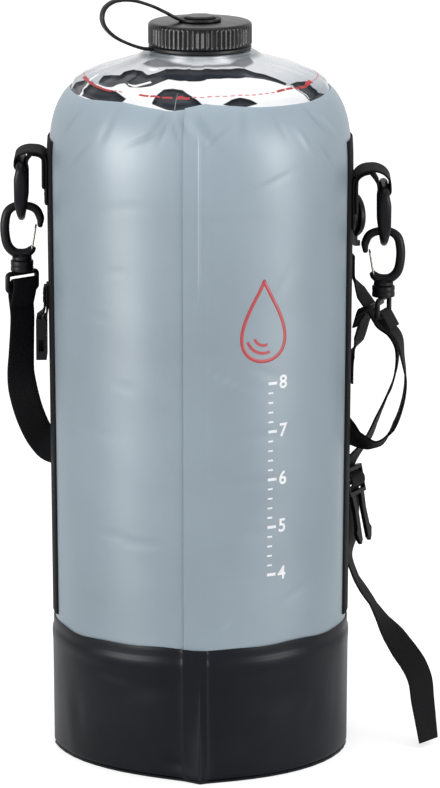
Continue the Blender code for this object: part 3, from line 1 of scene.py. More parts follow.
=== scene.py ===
"""Looks of a camp shower bag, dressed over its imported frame.

The file is laid out as an add-on and is run as a script. Everything is in metres, +Z up, with the front of the
bag towards -Y. Angles go round the bag in degrees, with -90 at the front. A row is a height as a share of
SHOULDER_Z up to 1, then 1 plus an angle over the shoulder in degrees.
"""

import math

import bmesh
import bpy
import numpy as np
from mathutils import Matrix


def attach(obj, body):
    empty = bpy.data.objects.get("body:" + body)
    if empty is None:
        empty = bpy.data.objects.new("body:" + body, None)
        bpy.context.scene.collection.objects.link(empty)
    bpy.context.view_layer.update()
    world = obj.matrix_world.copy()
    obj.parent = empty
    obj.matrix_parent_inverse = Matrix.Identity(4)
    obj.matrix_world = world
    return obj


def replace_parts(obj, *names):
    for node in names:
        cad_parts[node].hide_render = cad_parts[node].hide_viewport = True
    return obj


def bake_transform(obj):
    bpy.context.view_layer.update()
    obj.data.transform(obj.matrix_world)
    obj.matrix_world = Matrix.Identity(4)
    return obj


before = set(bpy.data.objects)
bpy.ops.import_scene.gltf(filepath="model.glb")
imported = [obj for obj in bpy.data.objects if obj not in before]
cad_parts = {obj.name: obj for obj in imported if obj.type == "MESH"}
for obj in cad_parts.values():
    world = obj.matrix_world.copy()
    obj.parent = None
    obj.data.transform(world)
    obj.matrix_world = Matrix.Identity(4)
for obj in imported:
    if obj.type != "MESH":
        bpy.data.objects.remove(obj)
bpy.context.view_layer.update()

bl_info = {
    "name": "Camp shower bag",
    "version": (1, 0, 0),
    "blender": (4, 5, 0),
    "location": "3D View > Sidebar > Bag",
    "description": "Makes the fabric, film, webbing and fittings of a camp shower bag",
    "category": "Mesh",
}

MM = 0.001

# Sizes of the solids, which the visible pieces keep to
BODY_R, BODY_FOOT_R = 0.1011, 0.0980
SHOULDER_Z, SHOULDER_H = 0.395, 0.075
SHOULDER_FLAT, SHOULDER_ROUND = 4.0, 3.45
GAP, FABRIC = 0.0003, 0.0010
SEAM_SHIFT, LAP_W = 0.011, 0.015
LAP_STEP = (FABRIC + GAP) / 2
BAND_H, BAND_T, BAND_LAP, FLAP_RISE = 0.0925, 0.0015, 0.012, 0.0008
FLOOR_T, FLOOR_FLANGE = 0.0016, 0.010
FRONT_TIP_SHARE, LEFT_DIP_SHARE, RIGHT_DIP_SHARE = 0.02, 0.11, 0.05
STRIP_W, STRIP_T, STRIP_LOW_Z, STRIP_TOP_DEG = 0.050, 0.0012, 0.097, 9.0
COLLAR_R, COLLAR_TOP_Z = 0.033, 0.4794
NECK_R, NECK_BORE_R, NECK_TOP_Z = 0.0295, 0.0265, 0.4917
FLANGE_R, FLANGE_T, FLANGE_Z = 0.043, 0.0016, 0.4641
CAP_R, CAP_INNER_R, CAP_TOP_Z, CAP_RIM_T, CAP_MIDDLE_T = 0.0346, 0.0314, 0.4981, 0.0040, 0.0017
BUTTON_SHANK_R, BUTTON_COLLAR_R = 0.0060, 0.0090
TETHER_RING_T, TETHER_EYE_R, TETHER_EYE_T = 0.0030, 0.0142, 0.0017
TETHER_W, TETHER_T, TETHER_TURN_DEG, TETHER_REACH, TETHER_RISE = 0.0062, 0.0021, 22.0, 0.0696, 0.0340
TETHER_OUT_SHARES = (0.35, 0.50, 0.70, 0.87, 0.97, 1.0, 0.97, 0.87, 0.72, 0.58)
TETHER_UP_SHARES = (0.70, 0.85, 0.98, 0.98, 0.86, 0.67, 0.48, 0.28, 0.12, 0.02)
WEB_T, WEB_W = 0.0014, 0.020
LOOP_W, LOOP_BAR_Z, LOOP_REACH, LOOP_RISE = 0.034, (0.4036, 0.3862), (0.0159, 0.0196), (0.0085, 0.0133)
LOOP_LEG, LOOP_TAIL = 0.027, 0.016
RING_BAR_R, RING_INNER_W, RING_SIDE_T, RING_SIDE_DEPTH = 0.0030, 0.039, 0.0050, 0.0088
RING_DROP, RING_BOW_R, RING_BOW_T = 0.0368, 0.0026, 0.0064
HOOK_H, HOOK_W, HOOK_TUBE, HOOK_BASE_R, HOOK_BASE_H = 0.0395, 0.0290, 0.0064, 0.0066, 0.0022
HOOK_OUT_SHARES = (-0.42, -0.427, -0.43, -0.33, -0.13, 0.12, 0.31, 0.385, 0.385, 0.32, 0.17, 0.0, -0.14, -0.225,
                   -0.27)
HOOK_UP_SHARES = (0.555, 0.62, 0.72, 0.865, 0.928, 0.928, 0.84, 0.66, 0.43, 0.235, 0.125, 0.105, 0.125, 0.175, 0.225)
HOOK_TUBE_SHARES = (0.50, 0.62, 0.86, 0.90, 0.86, 0.86, 0.94, 1.0, 1.0, 1.0, 1.0, 1.0, 1.0, 0.88, 0.62)
GATE_PIVOT_SHARES, GATE_TOP_SHARES, GATE_WIRE, GATE_SPREAD = (-0.235, 0.187), (-0.325, 0.590), 0.0014, 0.0082
SWIVEL_R, SWIVEL_H, SWIVEL_ROOF, SWIVEL_GROOVE = 0.0077, 0.0075, 0.0033, 0.0005
SHANK_R, SHANK_HEAD_R, SHANK_HEAD_T = 0.0026, 0.0043, 0.0020
EYE_BAR_R, EYE_DROP, EYE_TOP, EYE_TURN_DEG = 0.0017, 0.0205, 0.0090, (40.0, 70.0)

LEFT, RIGHT = 0, 1
SIDE_SIGN = (-1.0, 1.0)
SIDE_NAME = ("left", "right")
FRONT_DEG, BACK_DEG = -90.0, 90.0
UP = np.array((0.0, 0.0, 1.0))

# Places of the straps, as shares of the body's radius, the same, and the cap's height, with the way each width lies
SHOULDER_SHARES = (
    (-1.186, 0.060, 0.6000), (-1.190, 0.085, 0.5700), (-1.196, 0.090, 0.5420), (-1.200, 0.095, 0.5150),
    (-1.184, 0.120, 0.4880), (-1.142, 0.180, 0.4530), (-1.076, 0.290, 0.4180), (-0.985, 0.480, 0.3900),
    (-0.800, 0.735, 0.3760), (-0.470, 0.960, 0.3700), (0.0, 1.055, 0.3680), (0.470, 0.950, 0.3780),
    (0.790, 0.710, 0.3980), (0.930, 0.480, 0.4160), (1.000, 0.290, 0.4260), (1.045, 0.160, 0.4260),
    (1.105, 0.075, 0.4220), (1.200, 0.025, 0.4230), (1.292, 0.005, 0.4450), (1.352, 0.0, 0.4790),
    (1.370, 0.0, 0.5110), (1.350, 0.0, 0.5400), (1.318, 0.0, 0.5700),
)
SHOULDER_WIDTH_SHARES = (
    (0.77, 0.64, 0.0), (0.80, 0.60, 0.0), (0.84, 0.54, 0.0), (0.90, 0.42, 0.0),
    (0.95, 0.15, 0.08), (0.86, 0.08, 0.38), (0.74, 0.0, 0.66), (0.60, 0.0, 0.80),
    (0.25, 0.0, 0.97), (0.0, 0.0, 1.0), (0.0, 0.0, 1.0), (0.0, 0.0, 1.0),
    (0.0, 0.0, 1.0), (0.0, 0.0, 1.0), (0.0, -0.15, 1.0), (-0.10, -0.40, 0.90),
    (-0.20, -0.70, 0.65), (-0.15, -0.95, 0.30), (0.0, -1.0, 0.0), (0.0, -1.0, 0.0),
    (0.0, -1.0, 0.0), (-0.10, -1.0, 0.0), (-0.25, -0.97, 0.0),
)
ANCHOR_DEG = 8.0
ADJUST_ANCHOR_Z, KEEPER_ANCHOR_Z = (0.338, 0.330, 0.322), (0.250, 0.259, 0.268)
ADJUST_SHARES = (
    (1.073, 0.148, 0.6245), (1.142, 0.148, 0.6040), (1.204, 0.119, 0.5830), (1.274, 0.080, 0.5700),
    (1.312, 0.060, 0.5530), (1.312, 0.065, 0.5280), (1.288, 0.105, 0.5028), (1.252, 0.150, 0.4828),
    (1.204, 0.210, 0.4567), (1.158, 0.260, 0.4316), (1.110, 0.315, 0.4096), (1.051, 0.368, 0.3915),
)
ADJUST_WIDTH_SHARES = (
    (0.25, 0.93, 0.18), (0.25, 0.93, 0.18), (0.22, 0.95, 0.12), (0.15, 1.0, 0.05),
    (0.12, 1.0, 0.0), (0.10, 1.0, 0.0), (0.08, 1.0, 0.0), (0.12, 1.0, 0.0),
    (0.20, 0.98, 0.0), (0.25, 0.97, 0.0), (0.37, 0.93, 0.0), (0.45, 0.89, 0.0),
)
TAIL_SHARES = (
    (1.030, 0.385, 0.2740), (1.010, 0.360, 0.2480), (1.045, 0.290, 0.2240), (1.105, 0.250, 0.2040),
    (1.165, 0.215, 0.1870), (1.235, 0.180, 0.1650), (1.305, 0.140, 0.1460), (1.373, 0.095, 0.1270),
    (1.440, 0.040, 0.1090), (1.483, 0.0, 0.0890), (1.500, -0.030, 0.0620), (1.520, -0.060, 0.0350),
    (1.540, -0.075, 0.0075),
)
TAIL_WIDTH_SHARES = (
    (0.38, 0.92, 0.0), (0.15, 1.0, 0.0), (0.10, 1.0, 0.0), (0.10, 1.0, 0.10),
    (0.05, 1.0, 0.10), (0.20, 0.95, 0.25), (0.45, 0.75, 0.40), (0.60, 0.60, 0.40),
    (0.72, 0.55, 0.30), (0.80, 0.55, 0.10), (0.80, 0.60, 0.0), (0.72, 0.69, 0.0),
    (0.65, 0.76, 0.0),
)
KEEPER_WIRE_R, KEEPER_HALF_H, KEEPER_SHARES, KEEPER_TAIL = 0.0015, 0.0045, (1.142, 0.148, 0.6040), 0.012
BUCKLE_T, BUCKLE_BAR, BUCKLE_SLOT = 0.0035, 0.0032, 0.0054
BUCKLE_SHARES, BUCKLE_TURN_DEG, BUCKLE_LEAN_DEG = (1.040, 0.376, 0.3525), 63.0, 11.0
FEMALE_BAR_R, FEMALE_BAR_Z, FEMALE_OUT, TAB_W, TAB_LEG = 0.0014, 0.2965, 0.0048, 0.016, 0.022
FUSE = 0.0004
VALVE_DEG, VALVE_Z, OUTLET_DEG, OUTLET_Z = 25.5, 0.3585, 71.0, 0.118

# Places on the dome as (angle from the front, row), mirrored for the back half: the wavy edge of the wall over the
# film, the top of the film's band of painted reflection, and the outlines of its dark pockets of painted shade, of
# the painted shade round the neck and of its painted gleams
EDGE_TABLE = ((-90, 43.0), (-79, 43.0), (-58, 41.5), (-35, 44.0), (-11.5, 39.5), (3, 45.5), (24.5, 41.2), (47, 40.5),
              (54.5, 40.2), (70.5, 42.0), (90, 42.5))
BRIGHT_TABLE = ((-90, 46.0), (-71, 47.5), (-60, 54.5), (-52, 54.0), (-47, 55.0), (-45.5, 58.2), (-42, 60.0),
                (-37.5, 57.5), (-31, 58.0), (-26, 61.0), (-19, 68.2), (-11, 68.0), (0, 69.0), (16, 70.5), (29, 70.0),
                (38.5, 66.5), (44.5, 60.5), (47, 56.5), (60, 50.0), (90, 46.0))
POCKETS = (
    ((-61.5, 56.8), (-66, 63.0), (-62, 66.0), (-54, 67.0), (-57, 71.0), (-52.5, 74.2), (-43.5, 74.2), (-36, 72.0),
     (-31, 74.5), (-27, 78.0), (-8, 79.0), (16.5, 78.7), (37, 77.7), (41, 73.2), (45.5, 70.5), (48.5, 65.2),
     (50.5, 58.8), (47.5, 56.5), (44.5, 60.0), (38.5, 66.2), (29, 69.5), (16, 70.2), (0, 68.8), (-11.5, 67.8),
     (-19, 68.2), (-23.5, 64.0), (-26.5, 60.5), (-31.5, 57.8), (-37.5, 57.2), (-42, 60.0), (-45.5, 58.2),
     (-47.5, 54.8), (-52, 54.2), (-58.5, 55.0)),
    ((-84, 42.5), (-82.5, 48.5), (-75, 54.5), (-66, 55.0), (-64.0, 50.0), (-66, 43.5), (-73, 41.0)),
    ((-67, 43.0), (-65, 54.0), (-58, 53.6), (-50, 52.4), (-42, 51.0), (-35, 47.2), (-36.5, 44.2), (-42.5, 42.8),
     (-52, 42.0), (-61, 43.0)),
    ((-21.5, 45.0), (-20.5, 51.8), (-18, 57.5), (-13.5, 59.0), (-8.5, 57.8), (-3, 52.0), (2, 45.8), (-4, 43.0),
     (-10, 40.0), (-16, 42.0)),
    ((10, 45.4), (14.5, 48.2), (18.5, 49.2), (23, 47.2), (26.5, 44.2), (18, 41.8)),
    ((51.5, 57.2), (58.5, 58.0), (65.5, 56.0), (64.5, 49.8), (66, 45.0), (73, 42.4), (63.5, 41.0), (56.5, 40.0),
     (53, 46.2), (51.5, 50.8)),
)
NECK_SHADE_OUTLINE = ((-54, 79.0), (-54.5, 81.0), (-47, 82.9), (-34, 82.4), (-24, 81.6), (-10, 80.9), (14, 80.9), (28, 80.9),
         (38, 82.6), (60, 83.4), (53, 80.2), (38, 78.3), (27, 79.6), (0, 80.0), (-20, 79.6), (-30, 79.0), (-44, 78.3))
GLEAMS = (((-41.5, 61.3), (-37, 62.2), (-30.5, 67.8), (-28.5, 66.0), (-35.5, 59.8), (-40, 59.5)),
          ((-73.0, 62.0), (-70.0, 62.4), (-64.2, 43.0), (-66.4, 42.0)),
          ((-42.5, 76.4), (-40.5, 77.6), (-34, 78.0), (-33, 76.6), (-36, 75.4)),
          ((-10.9, 41.0), (-10.8, 56.0), (-10.6, 56.0), (-10.5, 41.0)),
          ((51.8, 56.5), (53.8, 50.0), (56.5, 42.5), (57.8, 43.0), (55, 50.5), (53.1, 56.8)))


def linear(code):
    """Turn an sRGB hex colour into the linear values that a shader takes."""
    share = np.array([int(code[i:i + 2], 16) for i in (1, 3, 5)]) / 255.0
    low = share / 12.92
    high = ((share + 0.055) / 1.055) ** 2.4
    return tuple(float(v) for v in np.where(share <= 0.04045, low, high))


# Shapes

def unit(v):
    """Vectors brought to a length of one, along the last axis."""
    v = np.asarray(v, float)
    return v / np.linalg.norm(v, axis=-1, keepdims=True)


def soft_step(x):
    """A smooth rise from 0 to 1 while x goes from 0 to 1."""
    x = np.clip(x, 0.0, 1.0)
    return x * x * (3.0 - 2.0 * x)


def heading(deg):
    """Level unit vector at an angle round the bag."""
    turn = math.radians(deg)
    return np.array((math.cos(turn), math.sin(turn), 0.0))


def run_along(path):
    """Distance along a path to each of its places."""
    return np.concatenate([[0.0], np.cumsum(np.linalg.norm(np.diff(path, axis=0), axis=1))])


def body_radius(z):
    """Outer radius of the straight wall at a height: a cone from the foot to the shoulder."""
    return BODY_FOOT_R + (BODY_R - BODY_FOOT_R) * z / SHOULDER_Z


def row_at(z):
    """Row of a height: its share of the straight wall, or the angle whose sine power gives it on the shoulder."""
    over = np.clip((np.asarray(z, float) - SHOULDER_Z) / SHOULDER_H, 0.0, 1.0)
    turn = np.degrees(np.arcsin(over ** (SHOULDER_ROUND / 2.0)))
    return np.where(over > 0.0, 1.0 + turn, np.asarray(z, float) / SHOULDER_Z)


def outline(row):
    """Radius and height of the body at a row: a straight cone, then a superellipse over the shoulder."""
    row = np.asarray(row, float)
    turn = np.radians(np.clip(row - 1.0, 0.0, 89.0))
    share = np.minimum(row, 1.0)
    r = np.where(row <= 1.0, body_radius(share * SHOULDER_Z), BODY_R * np.cos(turn) ** (2.0 / SHOULDER_FLAT))
    z = np.where(row <= 1.0, share * SHOULDER_Z, SHOULDER_Z + SHOULDER_H * np.sin(turn) ** (2.0 / SHOULDER_ROUND))
    return r, z


def surface(row, deg, lift):
    """Points of the body's surface, moved along its normal by lift. All three are grids or broadcast to one."""
    row, deg, lift = np.broadcast_arrays(np.asarray(row, float), np.asarray(deg, float), np.asarray(lift, float))
    r, z = outline(row)
    (r0, z0), (r1, z1) = outline(row - 0.02), outline(row + 0.02)
    run = np.hypot(r1 - r0, z1 - z0)
    reach = r + lift * (z1 - z0) / run
    level = z - lift * (r1 - r0) / run
    turn = np.radians(deg)
    return np.stack([reach * np.cos(turn), reach * np.sin(turn), level], axis=-1)


def wall_plane(deg, z):
    """Plane coordinates of places on the wall: how far round the bag and how high."""
    return np.stack(np.broadcast_arrays(np.radians(deg) * BODY_R, z), axis=-1)


def seam_degs():
    """Edges of the front lap and of the back lap, as angles: of the upper sheet, then of the lower one."""
    upper = math.degrees(math.asin(SEAM_SHIFT / BODY_R))
    lower = math.degrees(math.asin((LAP_W - SEAM_SHIFT) / BODY_R))
    return (FRONT_DEG - upper, FRONT_DEG + lower), (BACK_DEG + upper, BACK_DEG - lower)


def strip_half_deg():
    """Half the width of a side strip, as the angle whose sine is that over the radius."""
    return math.degrees(math.asin(STRIP_W / 2 / BODY_R))


def turned_by(deg, middle):
    """Signed angle from a middle, wrapped to half a turn either way."""
    return (np.asarray(deg, float) - middle + 180.0) % 360.0 - 180.0


def in_lap(deg, blend=2.0):
    """1 inside a lap seam, falling to 0 beside it over blend degrees."""
    out = np.zeros_like(np.asarray(deg, float))
    for edges in seam_degs():
        away = np.abs(turned_by(deg, sum(edges) / 2)) - abs(edges[0] - edges[1]) / 2
        out = np.maximum(out, np.clip(1.0 - away / blend, 0.0, 1.0))
    return out


def round_degs(start, end, step):
    """Angles from start to end at about one step, with close pairs at every edge of a lap."""
    spots = list(np.linspace(start, end, round((end - start) / step) + 1))
    for edges in seam_degs():
        for edge in edges:
            for turn in (-360.0, 0.0, 360.0):
                spots += [edge + turn + d for d in (-0.4, 0.0, 0.4) if start + 0.2 < edge + turn + d < end - 0.2]
    spots += [FRONT_DEG + turn + d for turn in (-360.0, 0.0, 360.0) for d in RIDGE_COLUMNS
              if start < FRONT_DEG + turn + d < end]
    spots = np.unique(np.round(spots, 3))
    return spots[np.concatenate([[True], np.diff(spots) > 0.12])]


def side_calm(deg):
    """0 over the side strips, and a smooth rise to 1 over 9 degrees beside them, so that what is sewn there lies on an
    even wall."""
    away = np.minimum(np.abs(turned_by(deg, 0.0)), np.abs(turned_by(deg, 180.0)))
    return soft_step((away - strip_half_deg() - 1.0) / 9.0)


# Broad waves of the filled wall: times round the bag, waves per metre of height, phase, height in mm
WAVES = ((4, 2.1, 0.4, 0.30), (7, -3.4, 1.9, 0.20), (3, 6.2, 2.6, 0.16), (11, 4.8, 0.9, 0.09), (5, 11.0, 3.3, 0.06),
         (2, 22.0, 0.6, 0.05))
# Creases: angle, height, half length and half width in mm, tilt from level in degrees, depth in mm
CREASES = (
    (-104.0, 0.4405, 8, 2.6, 68, 1.0), (-99.5, 0.4390, 8, 2.2, -66, 0.9), (-93.0, 0.4420, 9, 2.4, -48, -0.8),
    (-112.0, 0.4340, 12, 2.4, 24, 0.7), (-83.5, 0.4350, 9, 2.0, 40, 0.6), (-57.0, 0.4400, 8, 2.0, -65, 0.5),
    (-46.0, 0.4290, 10, 2.0, -56, -0.7), (-34.0, 0.4180, 9, 2.2, -50, 0.6), (-142.0, 0.4180, 12, 2.6, 42, 0.5),
    (-98.0, 0.3480, 9, 2.0, 8, 0.4), (-123.0, 0.3440, 9, 2.2, 9, 0.22), (-64.0, 0.2780, 12, 2.2, -22, 0.45),
    (-79.0, 0.2730, 13, 2.0, -28, -0.45), (-100.0, 0.2120, 10, 2.2, 4, 0.4), (-132.0, 0.2350, 14, 2.4, -5, 0.4),
    (-106.0, 0.446, 13, 4.0, 62, 0.9), (-97.0, 0.447, 10, 4.5, -70, 0.8), (-88.0, 0.441, 12, 4.0, -52, 0.7),
    (-73.0, 0.443, 9, 3.5, 75, 0.5), (-38.0, 0.442, 10, 2.0, -48, 0.9), (-30.0, 0.436, 12, 2.4, -40, -0.6),
    (-128.0, 0.440, 12, 4.0, 66, 0.5), (-150.0, 0.438, 10, 3.0, 50, 0.6), (-118.0, 0.388, 20, 3.0, 8, 0.20),
    (-84.0, 0.382, 26, 3.2, -2, 0.30), (-62.0, 0.405, 16, 3.0, 20, 0.30), (-131.0, 0.312, 10, 2.2, -8, 0.35),
    (-120.0, 0.268, 10, 3.4, -8, 0.18), (-124.0, 0.165, 17, 2.2, -4, 0.50), (-109.0, 0.163, 14, 2.4, 6, 0.40),
    (-76.0, 0.170, 26, 3.4, 1, 0.35), (-74.0, 0.205, 28, 3.8, 0, 0.30), (-70.0, 0.236, 24, 3.8, -2, 0.28),
    (-82.0, 0.140, 20, 3.0, 2, 0.30), (-80.0, 0.108, 6, 1.8, 35, -0.5), (-47.0, 0.128, 15, 3.0, 24, 0.45),
    (-140.0, 0.120, 16, 3.4, -14, 0.40), (-95.0, 0.118, 9, 2.4, 78, 0.25), (-60.0, 0.330, 20, 4.0, 55, 0.25),
    (70.0, 0.446, 13, 4.0, 62, 0.9), (100.0, 0.444, 12, 4.5, -66, 0.8), (118.0, 0.300, 22, 3.0, 5, 0.35),
    (64.0, 0.350, 24, 3.2, -4, 0.30), (140.0, 0.420, 14, 3.2, 40, 0.5), (40.0, 0.300, 16, 3.0, 12, 0.35),
    (130.0, 0.170, 20, 3.0, -6, 0.45), (84.0, 0.200, 24, 3.4, 3, 0.35), (104.0, 0.140, 16, 3.0, 12, 0.40),
)
CREASE_LIP = 0.9
# Fold line down the middle of the front, and the angles beside it that get a column of points
RIDGE_Z, RIDGE_HALF_W, RIDGE_H = (0.318, 0.446), 0.0007, 0.00055
RIDGE_COLUMNS = (-1.0, -0.7, -0.45, -0.2, 0.05, 0.3, 0.55, 0.9)
# Where the wall lies even round a fitting: angle, height, radius
CALM_PLACES = ((VALVE_DEG, VALVE_Z, 0.021), (OUTLET_DEG, OUTLET_Z, 0.018))


def grooves(table, deg, z, lip):
    """Gaussian grooves, each turned by its tilt: the sum of exp(-a^2 - c^2) (1 - lip c^2) times each depth, where a
    and c are the distances along and across a groove as shares of its half sizes."""
    out = np.zeros(deg.shape)
    for middle, level, half_l, half_w, tilt, depth in table:
        aside = np.radians(turned_by(deg, middle)) * BODY_R
        up = z - level
        lean = math.radians(tilt)
        along = (aside * math.cos(lean) + up * math.sin(lean)) / (half_l * MM)
        across = (up * math.cos(lean) - aside * math.sin(lean)) / (half_w * MM)
        out -= depth * MM * np.exp(-along**2 - across**2) * (1.0 - lip * across**2)
    return out


def swell(deg, z):
    """How far the filled wall stands off its even shape: a sum of sine waves round and up the bag, the creases,
    and the fold line that runs down the middle of the front."""
    deg, z = np.broadcast_arrays(np.asarray(deg, float), np.asarray(z, float))
    turn = np.radians(deg)
    out = grooves(CREASES, deg, z, CREASE_LIP)
    for times, per_metre, phase, height in WAVES:
        out += height * MM * np.sin(times * turn + 2.0 * math.pi * per_metre * z + phase)
    low, high = RIDGE_Z
    fade = soft_step((z - low) / 0.03) * soft_step((high - z) / 0.02)
    ridge = np.exp(-((turn - math.radians(FRONT_DEG)) * BODY_R / RIDGE_HALF_W) ** 2)
    out += RIDGE_H * ridge * fade
    for middle, level, radius in CALM_PLACES:
        away = np.hypot(np.radians(turned_by(deg, middle)) * BODY_R, z - level)
        out *= soft_step((away - radius) / 0.012)
    return out * side_calm(deg)


def plan_share(deg, z):
    """How far the foot's plan leaves the circle, as a share of its radius. With a as the angle from the front or the
    back over 90 degrees, a point follows (1 - a)^8 and the flats beside it a^0.6 (1 - a), and both fade up the band."""
    fade = np.clip(1.0 - z / (BAND_H - BAND_LAP), 0.0, 1.0)
    away = np.abs((deg + 360.0) % 180.0 - 90.0) / 90.0
    dip = np.where(np.cos(np.radians(deg)) < 0.0, LEFT_DIP_SHARE, RIGHT_DIP_SHARE)
    flat = 2.88 * away**0.6 * (1.0 - away)
    return 1.0 + fade * (FRONT_TIP_SHARE * (1.0 - away) ** 8 - dip * flat)


def smooth_path(points, steps):
    """Smooth curve through points, with steps places on each span. Its slope follows the length of each span."""
    p = np.array(points, float)
    p = np.concatenate([2.0 * p[:1] - p[1:2], p, 2.0 * p[-1:] - p[-2:-1]])
    span = np.linalg.norm(np.diff(p, axis=0), axis=1)[:, None]
    slope = (p[2:] - p[:-2]) / (span[1:] + span[:-1])
    t = np.linspace(0.0, 1.0, steps, endpoint=False)[:, None]
    keep, lean = 1.0 - t * t * (3.0 - 2.0 * t), t * (1.0 - t)
    out = []
    for i in range(1, len(p) - 2):
        out.append(p[i] * keep + p[i + 1] * (1.0 - keep)
                   + lean * (1.0 - t) * slope[i - 1] * span[i] - lean * t * slope[i] * span[i])
    return np.concatenate(out + [p[-2:-1]])


def blended(values, steps):
    """Values spread evenly over the same places as smooth_path gives."""
    values = np.array(values, float).reshape(len(values), -1)
    spots = np.linspace(0.0, len(values) - 1.0, (len(values) - 1) * steps + 1)
    return np.stack([np.interp(spots, range(len(values)), column) for column in values.T], axis=-1)


def directions(path, closed=False):
    """Unit directions along a path, one for each of its places."""
    if closed:
        return unit(np.roll(path, -1, axis=0) - np.roll(path, 1, axis=0))
    ends = np.concatenate([path[:1], path, path[-1:]])
    return unit(ends[2:] - ends[:-2])


def arc(middle, half_u, half_v, start, end, count):
    """Places on an arc of an ellipse, from angle to angle in degrees."""
    turns = np.radians(np.linspace(start, end, count))
    return [(middle[0] + half_u * math.cos(t), middle[1] + half_v * math.sin(t)) for t in turns]


def rounded_box(half, low, high, bend, upright=False):
    """Outline of a box with round corners, from its foot round. upright adds a place halfway up each side."""
    route = []
    for k, (u, v) in enumerate(((half - bend, low + bend), (half - bend, high - bend),
                                (-half + bend, high - bend), (-half + bend, low + bend))):
        route += arc((u, v), bend, bend, 90 * k - 90, 90 * k, 7)
        if upright and k % 2 == 0:
            route.append((math.copysign(half, u), (low + high) / 2))
    return route


def grid_quads(rows, columns, wrap_rows=False, wrap_columns=False, first=0):
    """Corner numbers of the faces of a grid, as one array."""
    i = np.arange(rows if wrap_rows else rows - 1)[:, None]
    j = np.arange(columns if wrap_columns else columns - 1)[None, :]
    right, up = (j + 1) % columns, ((i + 1) % rows) * columns
    low = i * columns
    return np.stack([low + j, low + right, up + right, up + j], axis=-1).reshape(-1, 4) + first


class Form:
    """Points, faces and plane coordinates of one or more closed forms that make up a piece."""

    def __init__(self):
        self.points, self.faces, self.flat, self.count = [], [], [], 0

    def add(self, points, faces, flat=None):
        """Add a closed form. faces is a list of corner numbers, which are turned round if the faces point inwards."""
        points = np.asarray(points, float).reshape(-1, 3)
        faces = [tuple(int(v) for v in f) for f in faces]
        fans = [(f[0], f[k], f[k + 1]) for f in faces for k in range(1, len(f) - 1)]
        a, b, c = (points[[t[n] for t in fans]] for n in range(3))
        middle = points.mean(axis=0)
        volume = np.einsum("ij,ij->", a - middle, np.cross(b - middle, c - middle))
        if volume < 0.0:
            faces = [f[::-1] for f in faces]
        self.faces += [tuple(v + self.count for v in f) for f in faces]
        self.points.append(points)
        self.flat.append(np.zeros((len(points), 2)) if flat is None else np.asarray(flat, float).reshape(-1, 2))
        self.count += len(points)
        return self

    def tube(self, rings, closed=False, flat=None):
        """Rings of points, an array (rings, points, 3), with flat ends unless the path is closed."""
        rows, columns = rings.shape[:2]
        faces = [tuple(f) for f in grid_quads(rows, columns, closed, True)]
        if not closed:
            faces.append(tuple(range(columns)))
            faces.append(tuple((rows - 1) * columns + j for j in range(columns)))
        return self.add(rings, faces, flat)

    def sheet(self, outer, inner, wrap=False, flat=None):
        """An outer and an inner grid of points, joined along their borders. wrap closes them round the bag."""
        rows, columns = outer.shape[:2]
        count = rows * columns
        faces = [grid_quads(rows, columns, False, wrap), grid_quads(rows, columns, False, wrap, count)[:, ::-1]]
        j = np.arange(columns if wrap else columns - 1)
        k, top = (j + 1) % columns, (rows - 1) * columns
        faces.append(np.stack([j, count + j, count + k, k], axis=-1))
        faces.append(np.stack([top + j, top + k, count + top + k, count + top + j], axis=-1))
        if not wrap:
            a = np.arange(rows - 1) * columns
            b, last = a + columns, columns - 1
            faces.append(np.stack([a, b, count + b, count + a], axis=-1))
            faces.append(np.stack([a + last, count + a + last, count + b + last, b + last], axis=-1))
        points = np.concatenate([outer.reshape(-1, 3), inner.reshape(-1, 3)])
        both = None if flat is None else np.concatenate([flat.reshape(-1, 2)] * 2)
        return self.add(points, np.concatenate(faces), both)

    def made(self, name, finishes, slot=None, smooth_deg=40.0, marks=None):
        """Put the form into a mesh and link its object. marks says which of its finishes each face has."""
        mesh = bpy.data.meshes.new(name)
        points = np.concatenate(self.points)
        mesh.from_pydata(points.tolist(), [], self.faces)
        flat = np.concatenate(self.flat)
        layer = mesh.uv_layers.new(name="UVMap")
        corners = np.zeros(len(mesh.loops), np.int32)
        mesh.loops.foreach_get("vertex_index", corners)
        layer.data.foreach_set("uv", flat[corners].astype(np.float32).ravel())
        mesh.shade_smooth()
        mesh.set_sharp_from_angle(angle=math.radians(smooth_deg))
        for finish in finishes:
            mesh.materials.append(finish_of(finish))
        if marks is not None:
            mesh.polygons.foreach_set("material_index", marks)
        obj = bpy.data.objects.new(name, mesh)
        bpy.context.scene.collection.objects.link(obj)
        return obj

    def dressed(self, node, body, name, finish, slot, smooth_deg=40.0):
        """Make the form, let it ride on a body and put it in the place of a node."""
        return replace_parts(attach(self.made(name, (finish,), slot, smooth_deg), body), node)


def ribbon_rings(path, widths, width, thickness, cup=None):
    """Rings of a flat strap carried along a path: a rectangle whose two edges are half rounds. cup bends the edges
    back by its own amount at each point."""
    along = directions(path)
    across = unit(widths - (widths * along).sum(-1, keepdims=True) * along)
    face = np.cross(along, across)
    half_w, half_t = width / 2, thickness / 2
    flat = np.linspace(1.0, -1.0, 7)[1:-1] * (half_w - half_t)
    edge = np.radians(np.linspace(90.0, -90.0, 5))
    u = np.concatenate([half_w - half_t + half_t * np.cos(edge), flat,
                        -(half_w - half_t) - half_t * np.cos(edge[::-1]), flat[::-1]])
    v = np.concatenate([half_t * np.sin(edge), np.full(5, -half_t), half_t * np.sin(edge[::-1]), np.full(5, half_t)])
    bend = np.zeros(len(path)) if cup is None else np.asarray(cup)
    away = v[None, :] - bend[:, None] * (u[None, :] / half_w) ** 2
    rings = path[:, None] + across[:, None] * u[None, :, None] + face[:, None] * away[..., None]
    return rings, np.stack(np.broadcast_arrays(u[None, :], run_along(path)[:, None]), axis=-1)


